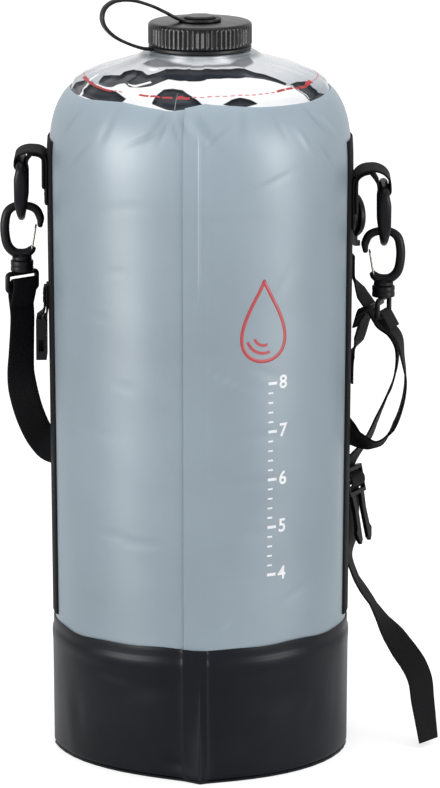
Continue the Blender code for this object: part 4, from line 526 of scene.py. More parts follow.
def bar_rings(path, sides, half_a, half_b, normal, closed=False):
    """Rings of a bar of oval section along a flat path: half_a lies along the plane's normal, half_b in it."""
    along = directions(path, closed)
    normal = np.broadcast_to(np.asarray(normal, float), along.shape)
    inward = np.cross(normal, along)
    half_a = np.broadcast_to(np.asarray(half_a, float), len(path))[:, None, None]
    half_b = np.broadcast_to(np.asarray(half_b, float), len(path))[:, None, None]
    turns = 2.0 * math.pi * (np.arange(sides) + 0.5) / sides
    return (path[:, None] + normal[:, None] * half_a * np.cos(turns)[None, :, None]
            + inward[:, None] * half_b * np.sin(turns)[None, :, None])


def eased(points, radius, closed=True):
    """An outline whose corners are rounded: each corner gives four points of a quadratic curve between the points
    one radius before and after it."""
    p = np.array(points, float)
    out = []
    for k in range(len(p)):
        if not closed and k in (0, len(p) - 1):
            out.append(p[k])
            continue
        before, after = p[k - 1] - p[k], p[(k + 1) % len(p)] - p[k]
        a = p[k] + before * min(0.45, radius / max(np.linalg.norm(before), 1e-9))
        b = p[k] + after * min(0.45, radius / max(np.linalg.norm(after), 1e-9))
        for t in (0.0, 0.33, 0.67, 1.0):
            out.append(a * (1 - t) ** 2 + 2 * p[k] * t * (1 - t) + b * t * t)
    return np.array(out)


def lathe(form, profile, count, origin=(0.0, 0.0, 0.0), ribs=None):
    """Turn an outline of (radius, height) round an upright axis. It is closed on itself, or open with both ends near
    the axis, where a flat face shuts it. ribs(radius, height, turn) may change each radius."""
    profile = np.asarray(profile, float)
    shut = bool(profile[0, 0] < 1e-6)
    if shut:
        profile = profile[1:-1]
    turn = 2.0 * math.pi * np.arange(count) / count
    radius = np.broadcast_to(profile[:, :1], (len(profile), count))
    if ribs:
        radius = ribs(radius, profile[:, 1:2], turn[None, :])
    level = np.stack([np.cos(turn), np.sin(turn), np.zeros(count)], axis=-1)
    rings = np.array(origin) + UP * profile[:, 1][:, None, None] + radius[..., None] * level
    flat = np.stack(np.broadcast_arrays(turn[None, :] * profile[:, :1].max(), profile[:, 1:2]), axis=-1)
    return form.tube(rings, closed=not shut, flat=flat)


def scaled(shares):
    """Places given as shares of the radius and of the height of the cap's top, in metres."""
    return [np.array((x * BODY_R, y * BODY_R, z * CAP_TOP_Z)) for x, y, z in shares]


# Materials

def feed(tree, node, inputs):
    """Set a node's inputs, each as name: value, linked socket, or node whose first open output is linked."""
    for key, value in inputs.items():
        if isinstance(value, bpy.types.Node):
            value = next(socket for socket in value.outputs if socket.enabled)
        if isinstance(value, bpy.types.NodeSocket):
            tree.links.new(value, node.inputs[key])
        else:
            node.inputs[key].default_value = value


def put(tree, kind, inputs=(), **settings):
    """Add a shader node, with its settings as keywords and its inputs as feed takes them."""
    node = tree.nodes.new("ShaderNode" + kind)
    for key, value in settings.items():
        setattr(node, key, value)
    feed(tree, node, dict(inputs))
    return node


def shade(name, **sockets):
    """A new material with uniform values on the shader's own sockets, its node tree, and the socket in it that gives
    the place on the object in metres."""
    mat = bpy.data.materials.new(name)
    mat.use_nodes = True
    values = {key.replace("_", " "): value for key, value in sockets.items()}
    tree = mat.node_tree
    feed(tree, tree.nodes["Principled BSDF"], values)
    return mat, tree, put(tree, "TexCoord").outputs["Object"]


def surfaced(mat, tone, bumps, rough=()):
    """Link a material's colour, its roughness as (noise, least, most) and its bumps, each as (height, distance in
    metres, strength) over the one before."""
    tree, ends = mat.node_tree, {"Base Color": tone}
    if rough:
        noise, least, most = rough
        ends["Roughness"] = put(tree, "MapRange", {"Value": noise, "To Min": least, "To Max": most})
    below = {}
    for height, distance, strength in bumps:
        below = {"Normal": put(tree, "Bump", {"Height": height, "Distance": distance, "Strength": strength, **below})}
    feed(tree, tree.nodes["Principled BSDF"], {**ends, **below})
    return mat


def toned(colour, share=1.0):
    """A share of a colour, as an opaque socket value."""
    return (*(part * share for part in colour[:3]), 1.0)


def to_metre(size_mm):
    """How many patches of a noise go to a metre, from the size of one in millimetres."""
    return 1.0 / (size_mm * MM)


def mottled(tree, place, patch_mm, colour, low, high):
    """A colour that noise spreads from low to high times itself, in patches of a size, and the noise."""
    noise = put(tree, "TexNoise", {"Vector": place, "Scale": to_metre(patch_mm), "Detail": 3.0})
    share = put(tree, "MapRange", {"Value": noise, "From Min": 0.35, "From Max": 0.65})
    return put(tree, "Mix", {0: share, 6: toned(colour, low), 7: toned(colour, high)}, data_type="RGBA"), noise


def woven(tree, across, along):
    """Height of a plain weave in the plane coordinates: the product of two sines at spacings in metres, whose threads
    pass over and under each other."""
    parts = put(tree, "SeparateXYZ", {"Vector": put(tree, "UVMap")})
    waves = []
    for axis, spacing in enumerate((across, along)):
        turn = put(tree, "Math", {0: parts.outputs[axis], 1: 2.0 * math.pi / spacing}, operation="MULTIPLY")
        waves.append(put(tree, "Math", {0: turn}, operation="SINE"))
    return put(tree, "Math", {0: waves[0], 1: waves[1]}, operation="MULTIPLY")


def coated_fabric(colour):
    """Polyester scrim between two layers of soft PVC, calendered. It gives a satin skin with a faint grid of the
    threads under it, at 1.8 mm, which is coarser than the real 1 mm so that it shows. The attribute fold holds
    painted light: painted shade in the grooves of the creases, and painted highlights on their lips, along the
    cut edge and over the shoulder."""
    mat, tree, place = shade("pvc_coated_polyester", IOR=1.5, Specular_IOR_Level=0.35)
    tone, cloud = mottled(tree, place, 111.1, colour, 0.93, 1.05)
    weave = woven(tree, 0.0018, 0.0018)
    grain = put(tree, "TexNoise", {"Vector": place, "Scale": to_metre(1.1111), "Detail": 2.0})
    # Painted shade in the grooves of the creases, and painted highlights on their lips, along the cut edge and over the
    # shoulder
    fold = put(tree, "Attribute", attribute_name="fold").outputs["Fac"]
    wear_and_painted_light = put(tree, "MapRange", {"Value": fold, "From Min": -1.0, "To Min": 0.80, "To Max": 1.22}, clamp=False)
    tone = put(tree, "Mix", {0: 1.0, 6: tone, 7: wear_and_painted_light}, data_type="RGBA", blend_type="MULTIPLY")
    bumps = ((weave, 0.00004, 0.35), (grain, 0.00003, 0.35), (cloud, 0.0012, 0.12))
    return surfaced(mat, tone, bumps, (cloud, 0.34, 0.5))


def inner_coating(colour):
    """The dark lining of the same sheet, dull and a little uneven, as it shows through the clear film."""
    mat, tree, place = shade("pvc_lining", Roughness=0.6)
    tone, cloud = mottled(tree, place, 45.45, colour, 0.8, 1.25)
    return surfaced(mat, tone, ((cloud, 0.001, 0.3),))


def clear_film(milk_and_sheen, glare, hollow):
    """Clear soft PVC, 0.5 mm, calendered. It is glossy and milky. Its white band and its gleams are painted
    reflections of the lamps, and its pockets and the patch round the neck are painted shade, dark as the inside of
    the bag. Attributes hold these places: bright and smoke as shares, and deep and
    gleam as distances, whose ramps give each patch a crisp rim and a paler middle."""
    mat, tree, place = shade("clear_pvc_film", Roughness=0.14, IOR=1.53, Specular_IOR_Level=0.1)
    bright, smoke, deep, gleam = (put(tree, "Attribute", attribute_name=name).outputs["Fac"]
                                  for name in ("bright", "smoke", "deep", "gleam"))
    pocket_light_noise = put(tree, "TexNoise", {"Vector": place, "Scale": to_metre(18.182), "Detail": 2.0})
    # Layers from the film upwards: colour, then what spreads it, each as value, where it begins, where it is full
    # Painted reflection, painted shade round the neck, the pockets' painted shade with a darker rim and a paler middle,
    # and painted gleams
    layers = (
        (toned(glare), (bright, 0.0, 1.0, "LINEAR")), (toned(hollow), (smoke, 0.0, 1.0, "LINEAR")),
        (toned(hollow, 0.35), (deep, -0.05, 0.05, "SMOOTHSTEP")), (toned(hollow), (deep, 0.05, 0.4, "SMOOTHSTEP")),
        (toned(hollow, 1.9), (deep, 0.15, 1.0, "SMOOTHSTEP"), (pocket_light_noise, 0.50, 0.78, "SMOOTHSTEP")),
        (toned(glare), (gleam, -0.03, 0.06, "SMOOTHSTEP")),
    )
    tone, cloud = mottled(tree, place, 33.33, milk_and_sheen, 0.9, 1.05)
    for colour, *spreads in layers:
        share = 1.0
        for value, low, high, kind in spreads:
            step = put(tree, "MapRange", {"Value": value, "From Min": low, "From Max": high}, interpolation_type=kind)
            share = put(tree, "Math", {0: share, 1: step}, operation="MULTIPLY")
        tone = put(tree, "Mix", {0: share, 6: tone, 7: colour}, data_type="RGBA")
    return surfaced(mat, tone, ((cloud, 0.0005, 0.2),))


def neck_plastic(colour):
    """Natural polyethylene, injection moulded: milky and half clear, with a waxy shine."""
    mat, tree, place = shade("natural_polyethylene", Roughness=0.22, IOR=1.5, Alpha=0.86)
    tone, cloud = mottled(tree, place, 14.286, colour, 0.75, 1.2)
    return surfaced(mat, tone, ((cloud, 0.0003, 0.2),))


def band_film(colour):
    """Black PVC tarpaulin, welded. Calendered smooth, so it has a satin skin with long soft highlights."""
    mat, tree, place = shade("black_pvc_tarpaulin", IOR=1.5, Specular_IOR_Level=0.09)
    tone, cloud = mottled(tree, place, 62.5, colour, 0.8, 1.3)
    grain = put(tree, "TexNoise", {"Vector": place, "Scale": to_metre(0.90909), "Detail": 2.0})
    return surfaced(mat, tone, ((grain, 0.00004, 0.4), (cloud, 0.0015, 0.15)), (cloud, 0.33, 0.5))


def webbing(colour, name="polypropylene_webbing", across=0.0022, along=0.0016):
    """Woven polypropylene webbing, dyed black. Plain weave, with threads drawn at 1.6 to 2.2 mm so that they show,
    and dull, with a painted highlight on the crowns of the threads and painted shade between them."""
    mat, tree, place = shade(name, Roughness=0.7, IOR=1.5, Specular_IOR_Level=0.08)
    weave = woven(tree, across, along)
    # Painted light: the colour is paler on the crowns of the weave and darker between them
    crown = put(tree, "MapRange", {"Value": weave, "From Min": -1.0, "From Max": 1.0})
    tone = put(tree, "Mix", {0: crown, 6: toned(colour, 0.55), 7: toned(colour, 1.6)}, data_type="RGBA")
    fuzz = put(tree, "TexNoise", {"Vector": place, "Scale": to_metre(0.66667)})
    return surfaced(mat, tone, ((weave, 0.0003, 0.7), (fuzz, 0.0001, 0.3)))


def sewing_thread(colour):
    """Polyester thread, twisted and dyed black. It is paler than the webbing, so that the seams show on it."""
    return webbing(toned(colour, 1.8), "polyester_thread", 0.0004, 0.0004)


def moulded(colour, name, roughness, grain_mm=0.45, shine=0.12):
    """Injection-moulded plastic from a spark-eroded mould: an even fine grain and a satin shine."""
    mat, tree, place = shade(name, IOR=1.5, Specular_IOR_Level=shine)
    tone, cloud = mottled(tree, place, 8.333, colour, 0.8, 1.3)
    grain = put(tree, "TexNoise", {"Vector": place, "Scale": to_metre(grain_mm), "Detail": 2.0})
    return surfaced(mat, tone, ((grain, 0.00006, 0.4),), (cloud, roughness - 0.06, roughness + 0.08))


def drawn_wire(colour):
    """Spring steel wire, drawn, with the grey oxide left on, so that it stands out grey where it mirrors white."""
    mat, tree, place = shade("drawn_spring_wire", Metallic=1.0, Roughness=0.34)
    tone, _ = mottled(tree, place, 3.3333, colour, 0.8, 1.0)
    lines = put(tree, "TexNoise", {"Vector": place, "Scale": to_metre(0.4)})
    return surfaced(mat, tone, ((lines, 0.00002, 0.3),))


def ink(colour, name):
    """Screen-printed PVC ink: dull, with a slightly uneven coat."""
    mat, tree, place = shade(name, Roughness=0.5)
    tone, cloud = mottled(tree, place, 3.8462, colour, 0.9, 1.04)
    return surfaced(mat, tone, ((cloud, 0.00008, 0.3),))


# Settings that a user would change

def colour_property(name, note, code):
    """A colour setting that starts from a hex code."""
    return bpy.props.FloatVectorProperty(name=name, description=note, subtype="COLOR", size=3, min=0.0, max=1.0,
                                         default=linear(code))


def length_property(name, note, value, low, high):
    """A length setting with its range, in metres."""
    return bpy.props.FloatProperty(name=name, description=note, default=value, min=low, max=high, precision=5,
                                   subtype="DISTANCE", unit="LENGTH")


class BagColours(bpy.types.PropertyGroup):
    """Colours of the bag's materials."""

    wall: colour_property("Wall", "Coated fabric of the two wall panels", "#93a2ac")
    lining: colour_property("Lining", "Inner face of the walls", "#2b2e34")
    film: colour_property("Film", "Milky parts of the clear dome", "#adb6be")
    # White of the film's painted reflections and painted gleams
    glare: colour_property("Tight film", "Brightest parts of the clear dome", "#fbfbfd")
    # Dark of the painted shade in the film's pockets and round the neck: the inside of the bag, painted on the film
    depth: colour_property("Pockets", "Inside of the bag as seen through the film", "#2d3138")
    neck: colour_property("Neck", "Half-clear plastic of the filling neck", "#8d959d")
    band: colour_property("Base band", "Black film round the foot", "#101218")
    web: colour_property("Webbing", "Straps and side strips", "#0e0e10")
    plastic: colour_property("Plastic", "Cap, rings, hooks and buckles", "#0b0b0e")
    rubber: colour_property("Rubber", "Tether, seal and plugs", "#101012")
    wire: colour_property("Wire", "Gates of the snap hooks", "#6f6e6b")
    white_ink: colour_property("White ink", "Litre scale", "#f3f4f7")
    red_ink: colour_property("Red ink", "Water drop and fill line", "#b3262c")
    worn_ink: colour_property("Worn red ink", "Faded stretches of the fill line", "#d98e93")
    floor: colour_property("Floor", "Studio floor", "#e9e9ea")


class BagSizes(bpy.types.PropertyGroup):
    """Sizes that change the look of the bag."""

    pocket_depth: length_property("Pocket depth", "How far the film sinks in its pockets", 0.0016, 0.0, 0.003)
    rib_depth: length_property("Rib depth", "Depth of the ribs on the cap", 0.0007, 0.0001, 0.0015)
    edge_radius: length_property("Edge radius", "Radius of the edges of moulded fittings", 0.0003, 0.0001, 0.001)
    print_height: length_property("Ink height", "How far printed marks stand on the wall", 0.00012, 0.00005, 0.0004)
    ribs: bpy.props.IntProperty(name="Cap ribs", description="Ribs round the cap", default=60, min=12, max=96)
    lens: bpy.props.FloatProperty(name="Lens", description="Focal length of the camera", default=245.8, min=20.0,
                                  max=400.0, unit="CAMERA")


# Finish: what makes it, the names of its colours, then what else that takes
FINISHES = {
    "wall": (coated_fabric, ("wall",)), "lining": (inner_coating, ("lining",)),
    "film": (clear_film, ("film", "glare", "depth")), "neck": (neck_plastic, ("neck",)),
    "band": (band_film, ("band",)), "web": (webbing, ("web",)),
    "strip": (webbing, ("web",), "coated_webbing_strip", 0.0014, 0.0014), "thread": (sewing_thread, ("web",)),
    "plastic": (moulded, ("plastic",), "moulded_polypropylene", 0.42),
    "cap": (moulded, ("plastic",), "polished_polypropylene", 0.30, 0.9, 0.2),
    "rubber": (moulded, ("rubber",), "soft_thermoplastic_rubber", 0.46, 0.7, 0.2), "wire": (drawn_wire, ("wire",)),
    "white_ink": (ink, ("white_ink",), "white_screen_ink"), "red_ink": (ink, ("red_ink",), "red_screen_ink"),
    "worn_ink": (ink, ("worn_ink",), "worn_red_ink"),
}
MATERIALS = {}


def finish_of(name):
    """The material of a finish, made once from the scene's colours."""
    if name not in MATERIALS:
        make, colours, *rest = FINISHES[name]
        MATERIALS[name] = make(*(getattr(bpy.context.scene.bag_colours, colour) for colour in colours), *rest)
    return MATERIALS[name]


def refinish(mesh, finish):
    """Give a mesh one finish in place of what it has."""
    mesh.materials.clear()
    mesh.materials.append(finish_of(finish))


# Pieces of the body

WALL_STEP_DEG, BEND_POWER = 1.25, 1.7
# Painted highlights on the wall: the height and span of the one over the shoulder, and its strength; the width in
# rows and the strength of the one along the cut edge
SHOULDER_HIGHLIGHT_Z, SHOULDER_HIGHLIGHT_SPAN, SHOULDER_PAINTED_HIGHLIGHT, EDGE_HIGHLIGHT_W, EDGE_PAINTED_HIGHLIGHT = 0.365, 0.085, 0.9, 0.8, 1.3


def table_at(table, deg):
    """Value of a front table at an angle."""
    spots, values = zip(*table)
    return np.interp(folded_deg(deg), spots, values)


def wall_rows(deg):
    """Rows of the wall, one column for each angle: even ones from the foot, then closer ones, spread as a power of
    their share, from the start of the shoulder to the wavy upper edge."""
    straight = np.linspace(float(row_at(BAND_H - BAND_LAP)), 1.0, 100)
    bend = np.linspace(0.0, 1.0, 44)[1:] ** BEND_POWER
    over = 1.0 + bend[:, None] * (table_at(EDGE_TABLE, deg)[None, :] - 1.0)
    return np.concatenate([np.broadcast_to(straight[:, None], (100, len(deg))), over])


def marked(obj, **fields):
    """Write fields, given on the outer grid of a sheet, onto both of its grids as attributes."""
    for name, field in fields.items():
        layer = obj.data.attributes.new(name, "FLOAT", "POINT")
        layer.data.foreach_set("value", np.concatenate([field.ravel()] * 2).astype(np.float32))


def wall_piece(name, start, end, lap_side):
    """Half of the wall as a sheet that follows the body's surface and its swell, stepped in the laps."""
    deg = round_degs(start, end, WALL_STEP_DEG)
    rows = wall_rows(deg)
    z = outline(rows)[1]
    lift = swell(deg[None, :], z) + in_lap(deg)[None, :] * LAP_STEP * lap_side
    edge = soft_step(np.minimum(np.arange(len(rows))[::-1], 3)[:, None] / 3.0)
    outer = surface(rows, deg[None, :], lift - (1.0 - edge) * FABRIC * 0.35)
    inner = surface(rows, deg[None, :], lift - FABRIC)
    form = Form().sheet(outer, inner, False, wall_plane(deg, z))
    quads = (len(rows) - 1) * (len(deg) - 1)
    marks = [0] * quads + [1] * quads + [0] * (len(form.faces) - 2 * quads)
    obj = form.made(name, ("wall", "lining"), "grey_fabric", 50.0, marks)
    # Painted light for the attribute fold: painted shade in the creases' grooves, and painted highlights on their lips,
    # over the shoulder and along the cut edge
    from_edge = table_at(EDGE_TABLE, deg)[None, :] - rows
    painted_light = np.clip(grooves(CREASES, np.broadcast_to(deg, rows.shape), z, CREASE_LIP) / MM, -1.0, 1.0)
    painted_light = painted_light + SHOULDER_PAINTED_HIGHLIGHT * soft_step((z - SHOULDER_HIGHLIGHT_Z) / SHOULDER_HIGHLIGHT_SPAN)
    painted_light = np.maximum(painted_light, EDGE_PAINTED_HIGHLIGHT * soft_step((1.4 - from_edge) / EDGE_HIGHLIGHT_W))
    marked(obj, fold=painted_light)
    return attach(obj, "bag")


class BAG_OT_walls(bpy.types.Operator):
    """Two wall panels of coated fabric, lapped at the front and the back"""

    bl_idname = "bag.walls"
    bl_label = "Walls"

    def execute(self, context):
        front, back = seam_degs()
        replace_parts(wall_piece("wall_right", front[0], back[0], 1.0), "right_wall")
        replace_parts(wall_piece("wall_left", back[1], 360.0 + front[1], -1.0), "left_wall")
        return {"FINISHED"}


def folded_deg(deg):
    """Angle from the front, with the back half folded over onto the front one."""
    away = turned_by(deg, FRONT_DEG)
    return np.where(np.abs(away) > 90.0, np.sign(away) * 180.0 - away, away)


def inside(across, up, corners):
    """Signed distance to an outline, positive inside it: the least distance to its sides, with the sign from how
    many sides a line to the right crosses."""
    p = eased(corners, 0.35)
    least, crossings = np.full(across.shape, np.inf), np.zeros(across.shape, int)
    for (x0, y0), (x1, y1) in zip(p, np.roll(p, -1, axis=0)):
        run, rise = x1 - x0, y1 - y0
        t = np.clip(((across - x0) * run + (up - y0) * rise) / max(run * run + rise * rise, 1e-9), 0.0, 1.0)
        least = np.minimum(least, np.hypot(across - x0 - t * run, up - y0 - t * rise))
        between = (y0 > up) != (y1 > up)
        crossings += between & (across < x0 + (up - y0) * run / (rise or 1e-9))
    return np.where(crossings % 2 == 1, least, -least)


def film_marks(rows, deg):
    """How much painted reflection the film gets, with painted sheen that rises towards the neck, how much painted
    shade round the neck, and how far each place lies inside a pocket and inside a gleam, as signed distances in
    degrees."""
    front = np.broadcast_to(folded_deg(deg)[None, :], rows.shape)
    top = table_at(BRIGHT_TABLE, deg)[None, :]
    # Painted reflection of the lamps as a white band under the bright table's top, and painted sheen that grows towards
    # the neck
    bright = soft_step((top - rows) / 1.2 + 0.5) * soft_step((front + 84.0) / 6.0) * soft_step((58.0 - front) / 5.0)
    milk_and_sheen = 0.52 * soft_step((rows - 45.0) / 32.0)
    pocket, gleam = (np.max([inside(front, rows, corners) for corners in group], axis=0) for group in (POCKETS, GLEAMS))
    return np.maximum(bright, milk_and_sheen), 0.75 * soft_step(inside(front, rows, NECK_SHADE_OUTLINE) / 1.2 + 0.6), pocket, gleam


def film_lift(rows, deg):
    """How far the film lies off the body's even surface: under the wall, then bulged, pressed in at its pockets,
    rippled, and drawn up towards the collar by a share of COLLAR_RISE that falls as exp(-distance / COLLAR_REACH)."""
    pocket = film_marks(rows, deg)[2]
    past_wall = rows - table_at(EDGE_TABLE, deg)[None, :] - 0.5
    free = soft_step(past_wall / 3.0) * soft_step((83.0 - rows) / 6.0)
    bulge = FILM_BULGE * soft_step(past_wall / 6.0)
    ripple = (0.25 * np.sin(np.radians(deg) * 13.0 + rows / 9.0) + 0.15 * np.sin(np.radians(deg) * 29.0)) * MM
    sunk = soft_step(pocket / 4.0 + 0.2) * bpy.context.scene.bag_sizes.pocket_depth
    r, z = outline(rows)
    drawn = COLLAR_RISE * np.exp(-(r - COLLAR_R) / COLLAR_REACH)
    return (swell(deg[None, :], z) * soft_step((60.0 - rows) / 15.0) - (FABRIC + GAP)
            - in_lap(deg)[None, :] * LAP_STEP + (ripple - sunk) * free + drawn + bulge)


DOME_LOW_ROW, DOME_TOP_ROW, COLLAR_RISE, COLLAR_REACH, FILM_BULGE = 37.0, 83.2, 0.0106, 0.0122, 0.0020
FILM_T = FABRIC * 0.8
# Painted gleams of the film round the neck: angle, half width in degrees, strength
NECK_GLEAMS = ((-112.0, 7.0, 0.70), (-67.0, 7.0, 0.70), (-88.0, 15.0, 0.22), (150.0, 12.0, 0.5), (75.0, 14.0, 0.5))


class BAG_OT_dome(bpy.types.Operator):
    """Clear film over the top, from under the wall's edge to the neck"""

    bl_idname = "bag.dome"
    bl_label = "Dome"

    def execute(self, context):
        deg = np.arange(-180.0, 180.0, 0.9)
        over = np.broadcast_to(np.linspace(DOME_LOW_ROW, DOME_TOP_ROW, 92)[:, None], (92, len(deg)))
        lift = film_lift(over, deg)
        film, under = (surface(over, deg[None, :], lift - inset) for inset in (0.0, FILM_T))
        film, under = (np.concatenate([grid, self.collar(grid[-1], inset)])
                       for grid, inset in ((film, 0.0), (under, FILM_T)))
        rows = np.concatenate([over, np.broadcast_to(DOME_TOP_ROW + np.arange(1.0, 9.0)[:, None], (8, len(deg)))])
        obj = Form().sheet(film, under, True).made("dome_film", ("film",), "clear_film", 60.0)
        bright, smoke, deep, gleam = film_marks(rows, deg)
        # Round the neck: painted gleams, a low painted reflection between them, and painted shade that is deepest about
        # 52 degrees from the front
        neck_patches = sum(np.exp(-(turned_by(deg, middle) / half) ** 2) * share for middle, half, share in NECK_GLEAMS)
        on_neck = soft_step((rows - DOME_TOP_ROW + 2.2) / 2.0)
        bright = bright * (1.0 - on_neck) + on_neck * (0.1 + neck_patches)[None, :]
        shady = 0.30 + 0.2 * np.exp(-((np.abs(folded_deg(deg)) - 52.0) / 15.0) ** 2)
        smoke = np.maximum(smoke, on_neck * np.clip(shady - neck_patches, 0.0, 1.0)[None, :])
        marked(obj, bright=bright, deep=np.clip(deep / 6.0, -1, 1), gleam=np.clip(gleam / 6.0, -1, 1), smoke=smoke)
        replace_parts(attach(obj, "bag"), "clear_dome")
        return {"FINISHED"}

    def collar(self, brim, inset):
        """Film drawn up round the neck: from the brim's circle a quarter of an ellipse up to the collar."""
        turns = np.radians(np.linspace(0.0, 90.0, 9))[1:, None, None]
        flat = brim[None, :, :2]
        r = np.linalg.norm(flat, axis=-1, keepdims=True)
        inner, top = COLLAR_R + 0.0011 - inset * 0.9, COLLAR_TOP_Z - 0.0006
        reach = inner + (r - inner) * (1.0 - np.sin(turns))
        rise = brim[None, :, 2:] + (top - brim[None, :, 2:]) * (1.0 - np.cos(turns))
        return np.concatenate([flat / r * reach, rise], axis=-1)


# Profile of the band: the round corner at its foot, the rounded rim at its top, the pressed weld below the rim, the
# puff of film below the weld, the wavy stretch of the top, and the least thickness
CORNER_H, CORNER_IN, RIM_H, RIM_IN = 0.0022, 0.0012, 0.0006, 0.0005
WELD_DOWN, WELD_SPAN, WELD_IN, PUFF_DOWN, PUFF_H, PUFF_OUT = 0.0092, 0.002, 0.0007, 0.0125, 0.0045, 0.00028
WAVY_H, BAND_LEAST_T = 0.02, 0.0004
# Soft dents of the band: angle, height, half length and half width in mm, tilt, depth in mm
BAND_DENTS = ((-128.0, 0.070, 26, 5.0, -8, 0.7), (-112.0, 0.062, 20, 6.0, 12, 0.5), (-70.0, 0.030, 16, 6.0, 50, 0.8),
              (-55.0, 0.055, 26, 9.0, 10, 0.5), (-100.0, 0.012, 8, 4.0, -10, 0.6), (-40.0, 0.040, 14, 8.0, 70, 0.6),
              (-150.0, 0.035, 16, 8.0, 80, 0.7), (60.0, 0.050, 26, 7.0, 8, 0.6), (110.0, 0.040, 22, 8.0, -20, 0.7),
              (140.0, 0.060, 20, 6.0, 14, 0.5))


class BAG_OT_base(bpy.types.Operator):
    """Black band round the foot with its weld flap"""

    bl_idname = "bag.base"
    bl_label = "Base band"

    def execute(self, context):
        deg = round_degs(-180.0, 180.0, WALL_STEP_DEG)[:-1]
        foot = FLOOR_T + GAP
        wave = 0.0006 * np.sin(np.radians(deg) * 6.0 + 0.8) + 0.0004 * np.sin(np.radians(deg) * 13.0)

        def ring(z, lift):
            """Band radius at a height and lift, times the plan's share, round the bag."""
            r = (body_radius(z) + lift) * plan_share(deg, z)
            turn = np.radians(deg)
            return np.stack([r * np.cos(turn), r * np.sin(turn), np.broadcast_to(z, r.shape)], axis=-1)

        def wavy(z):
            """Height on the band, waved towards its upper edge."""
            return z + wave * soft_step((z - BAND_H + WAVY_H) / WAVY_H)

        inner = GAP + in_lap(deg) * LAP_STEP
        rings = []
        heights = np.concatenate([foot + CORNER_H * np.array((0.0, 0.12, 0.4, 1.0)), np.linspace(0.0055, BAND_H, 60)])
        for z in heights:
            corner = CORNER_IN * (1.0 - math.sqrt(max(0.0, 1.0 - (1.0 - min((z - foot) / CORNER_H, 1.0)) ** 2)))
            rim = RIM_IN * math.exp(-((BAND_H - z) / RIM_H) ** 2)
            weld = WELD_IN * soft_step((z - BAND_H + WELD_DOWN) / WELD_SPAN)
            puff = PUFF_OUT * math.exp(-((z - BAND_H + PUFF_DOWN) / PUFF_H) ** 2)
            lift = (inner + BAND_T + in_lap(deg, 0.45) * FLAP_RISE - corner - rim - weld + puff
                    + swell(deg, z) * 0.6 + grooves(BAND_DENTS, deg, z, 0.0))
            rings.append(ring(wavy(z), np.maximum(lift, inner + BAND_LEAST_T)))
        back = np.linspace(BAND_H, foot + BAND_T, 12)
        rings += [ring(wavy(z), inner + 0.0001) for z in back]
        rings += [ring(z, inner - FLOOR_FLANGE) for z in (foot + BAND_T, foot)]
        levels = np.concatenate([heights, back, (foot + BAND_T, foot)])
        form = Form().tube(np.array(rings), True, wall_plane(deg, levels[:, None]))
        form.dressed("base_wall", "bag", "base_band", "band", "black_film")
        refinish(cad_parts["base_floor"].data, "band")
        return {"FINISHED"}


class BAG_OT_side_strips(bpy.types.Operator):
    """Black strip down each side, which carries the straps"""

    bl_idname = "bag.side_strips"
    bl_label = "Side strips"

    def execute(self, context):
        for side in (LEFT, RIGHT):
            middle = 180.0 if side == LEFT else 0.0
            deg = np.linspace(middle - strip_half_deg(), middle + strip_half_deg(), 41)
            rows = np.concatenate([np.linspace(float(row_at(STRIP_LOW_Z)), 1.0, 110),
                                   1.0 + np.linspace(0.0, 1.0, 14)[1:] ** BEND_POWER * STRIP_TOP_DEG])[:, None]
            z = outline(rows)[1]
            edge = np.abs(turned_by(deg, middle)) / strip_half_deg()
            groove = np.exp(-((edge - 0.9) / 0.025) ** 2) * 0.00025
            taper = soft_step((1.0 - edge) / 0.03) * 0.6 + 0.4
            lift = (GAP + STRIP_T * taper - groove)[None, :]
            form = Form().sheet(surface(rows, deg[None, :], lift), surface(rows, deg[None, :], GAP), False,
                                wall_plane(deg, z))
            form.dressed("side_strip_" + SIDE_NAME[side], "bag", "strip_" + SIDE_NAME[side], "strip", "webbing", 50.0)
        return {"FINISHED"}


# Neck, cap and tether

THREAD_TURNS, THREAD_PITCH, THREAD_Z, THREAD_W = 1.25, 0.0045, 0.4842, 0.0018
# Rounded upper edge of the cap: how far in from its side and down from its top
CAP_EDGE = ((0.0030, 0.0), (0.0019, 0.00015), (0.0010, 0.0006), (0.0003, 0.0013), (0.0, 0.0021))


def helix(form, wall_r, depth, start_share):
    """Screw ridge: a small trapezium carried along a helix that fades in and out over a tenth of a turn."""
    per_turn = 96
    k = np.arange(round(per_turn * THREAD_TURNS) + 1)
    turn = 2.0 * math.pi * (k / per_turn + start_share)
    fade = np.minimum(1.0, np.minimum(k + 1.0, k[-1] - k + 1.0) / 10.0)
    root = wall_r - math.copysign(GAP, depth)
    reach = wall_r + depth * fade
    r = np.stack([np.full_like(reach, root), reach, reach, np.full_like(reach, root)], axis=-1)
    z = THREAD_Z + THREAD_PITCH * k[:, None] / per_turn + THREAD_W / 4 * np.array((-2.0, -1.0, 1.0, 2.0))[None, :]
    return form.tube(np.stack([r * np.cos(turn)[:, None], r * np.sin(turn)[:, None], z], axis=-1))


class BAG_OT_neck(bpy.types.Operator):
    """Half-clear filling neck with its flange under the film and its thread"""

    bl_idname = "bag.neck"
    bl_label = "Neck"

    def execute(self, context):
        outline_points = (
            (NECK_BORE_R, FLANGE_Z), (FLANGE_R, FLANGE_Z), (FLANGE_R, FLANGE_Z + FLANGE_T),
            (COLLAR_R + 0.0010, FLANGE_Z + FLANGE_T), (COLLAR_R, FLANGE_Z + FLANGE_T + 0.004),
            (COLLAR_R, COLLAR_TOP_Z), (NECK_R, COLLAR_TOP_Z), (NECK_R, NECK_TOP_Z), (NECK_BORE_R, NECK_TOP_Z),
        )
        form = lathe(Form(), eased(outline_points, 0.0005), 128)
        helix(form, NECK_R, 0.0015, 0.0)
        form.dressed("neck_spout", "bag", "neck", "neck", "clear_neck", 35.0)
        return {"FINISHED"}


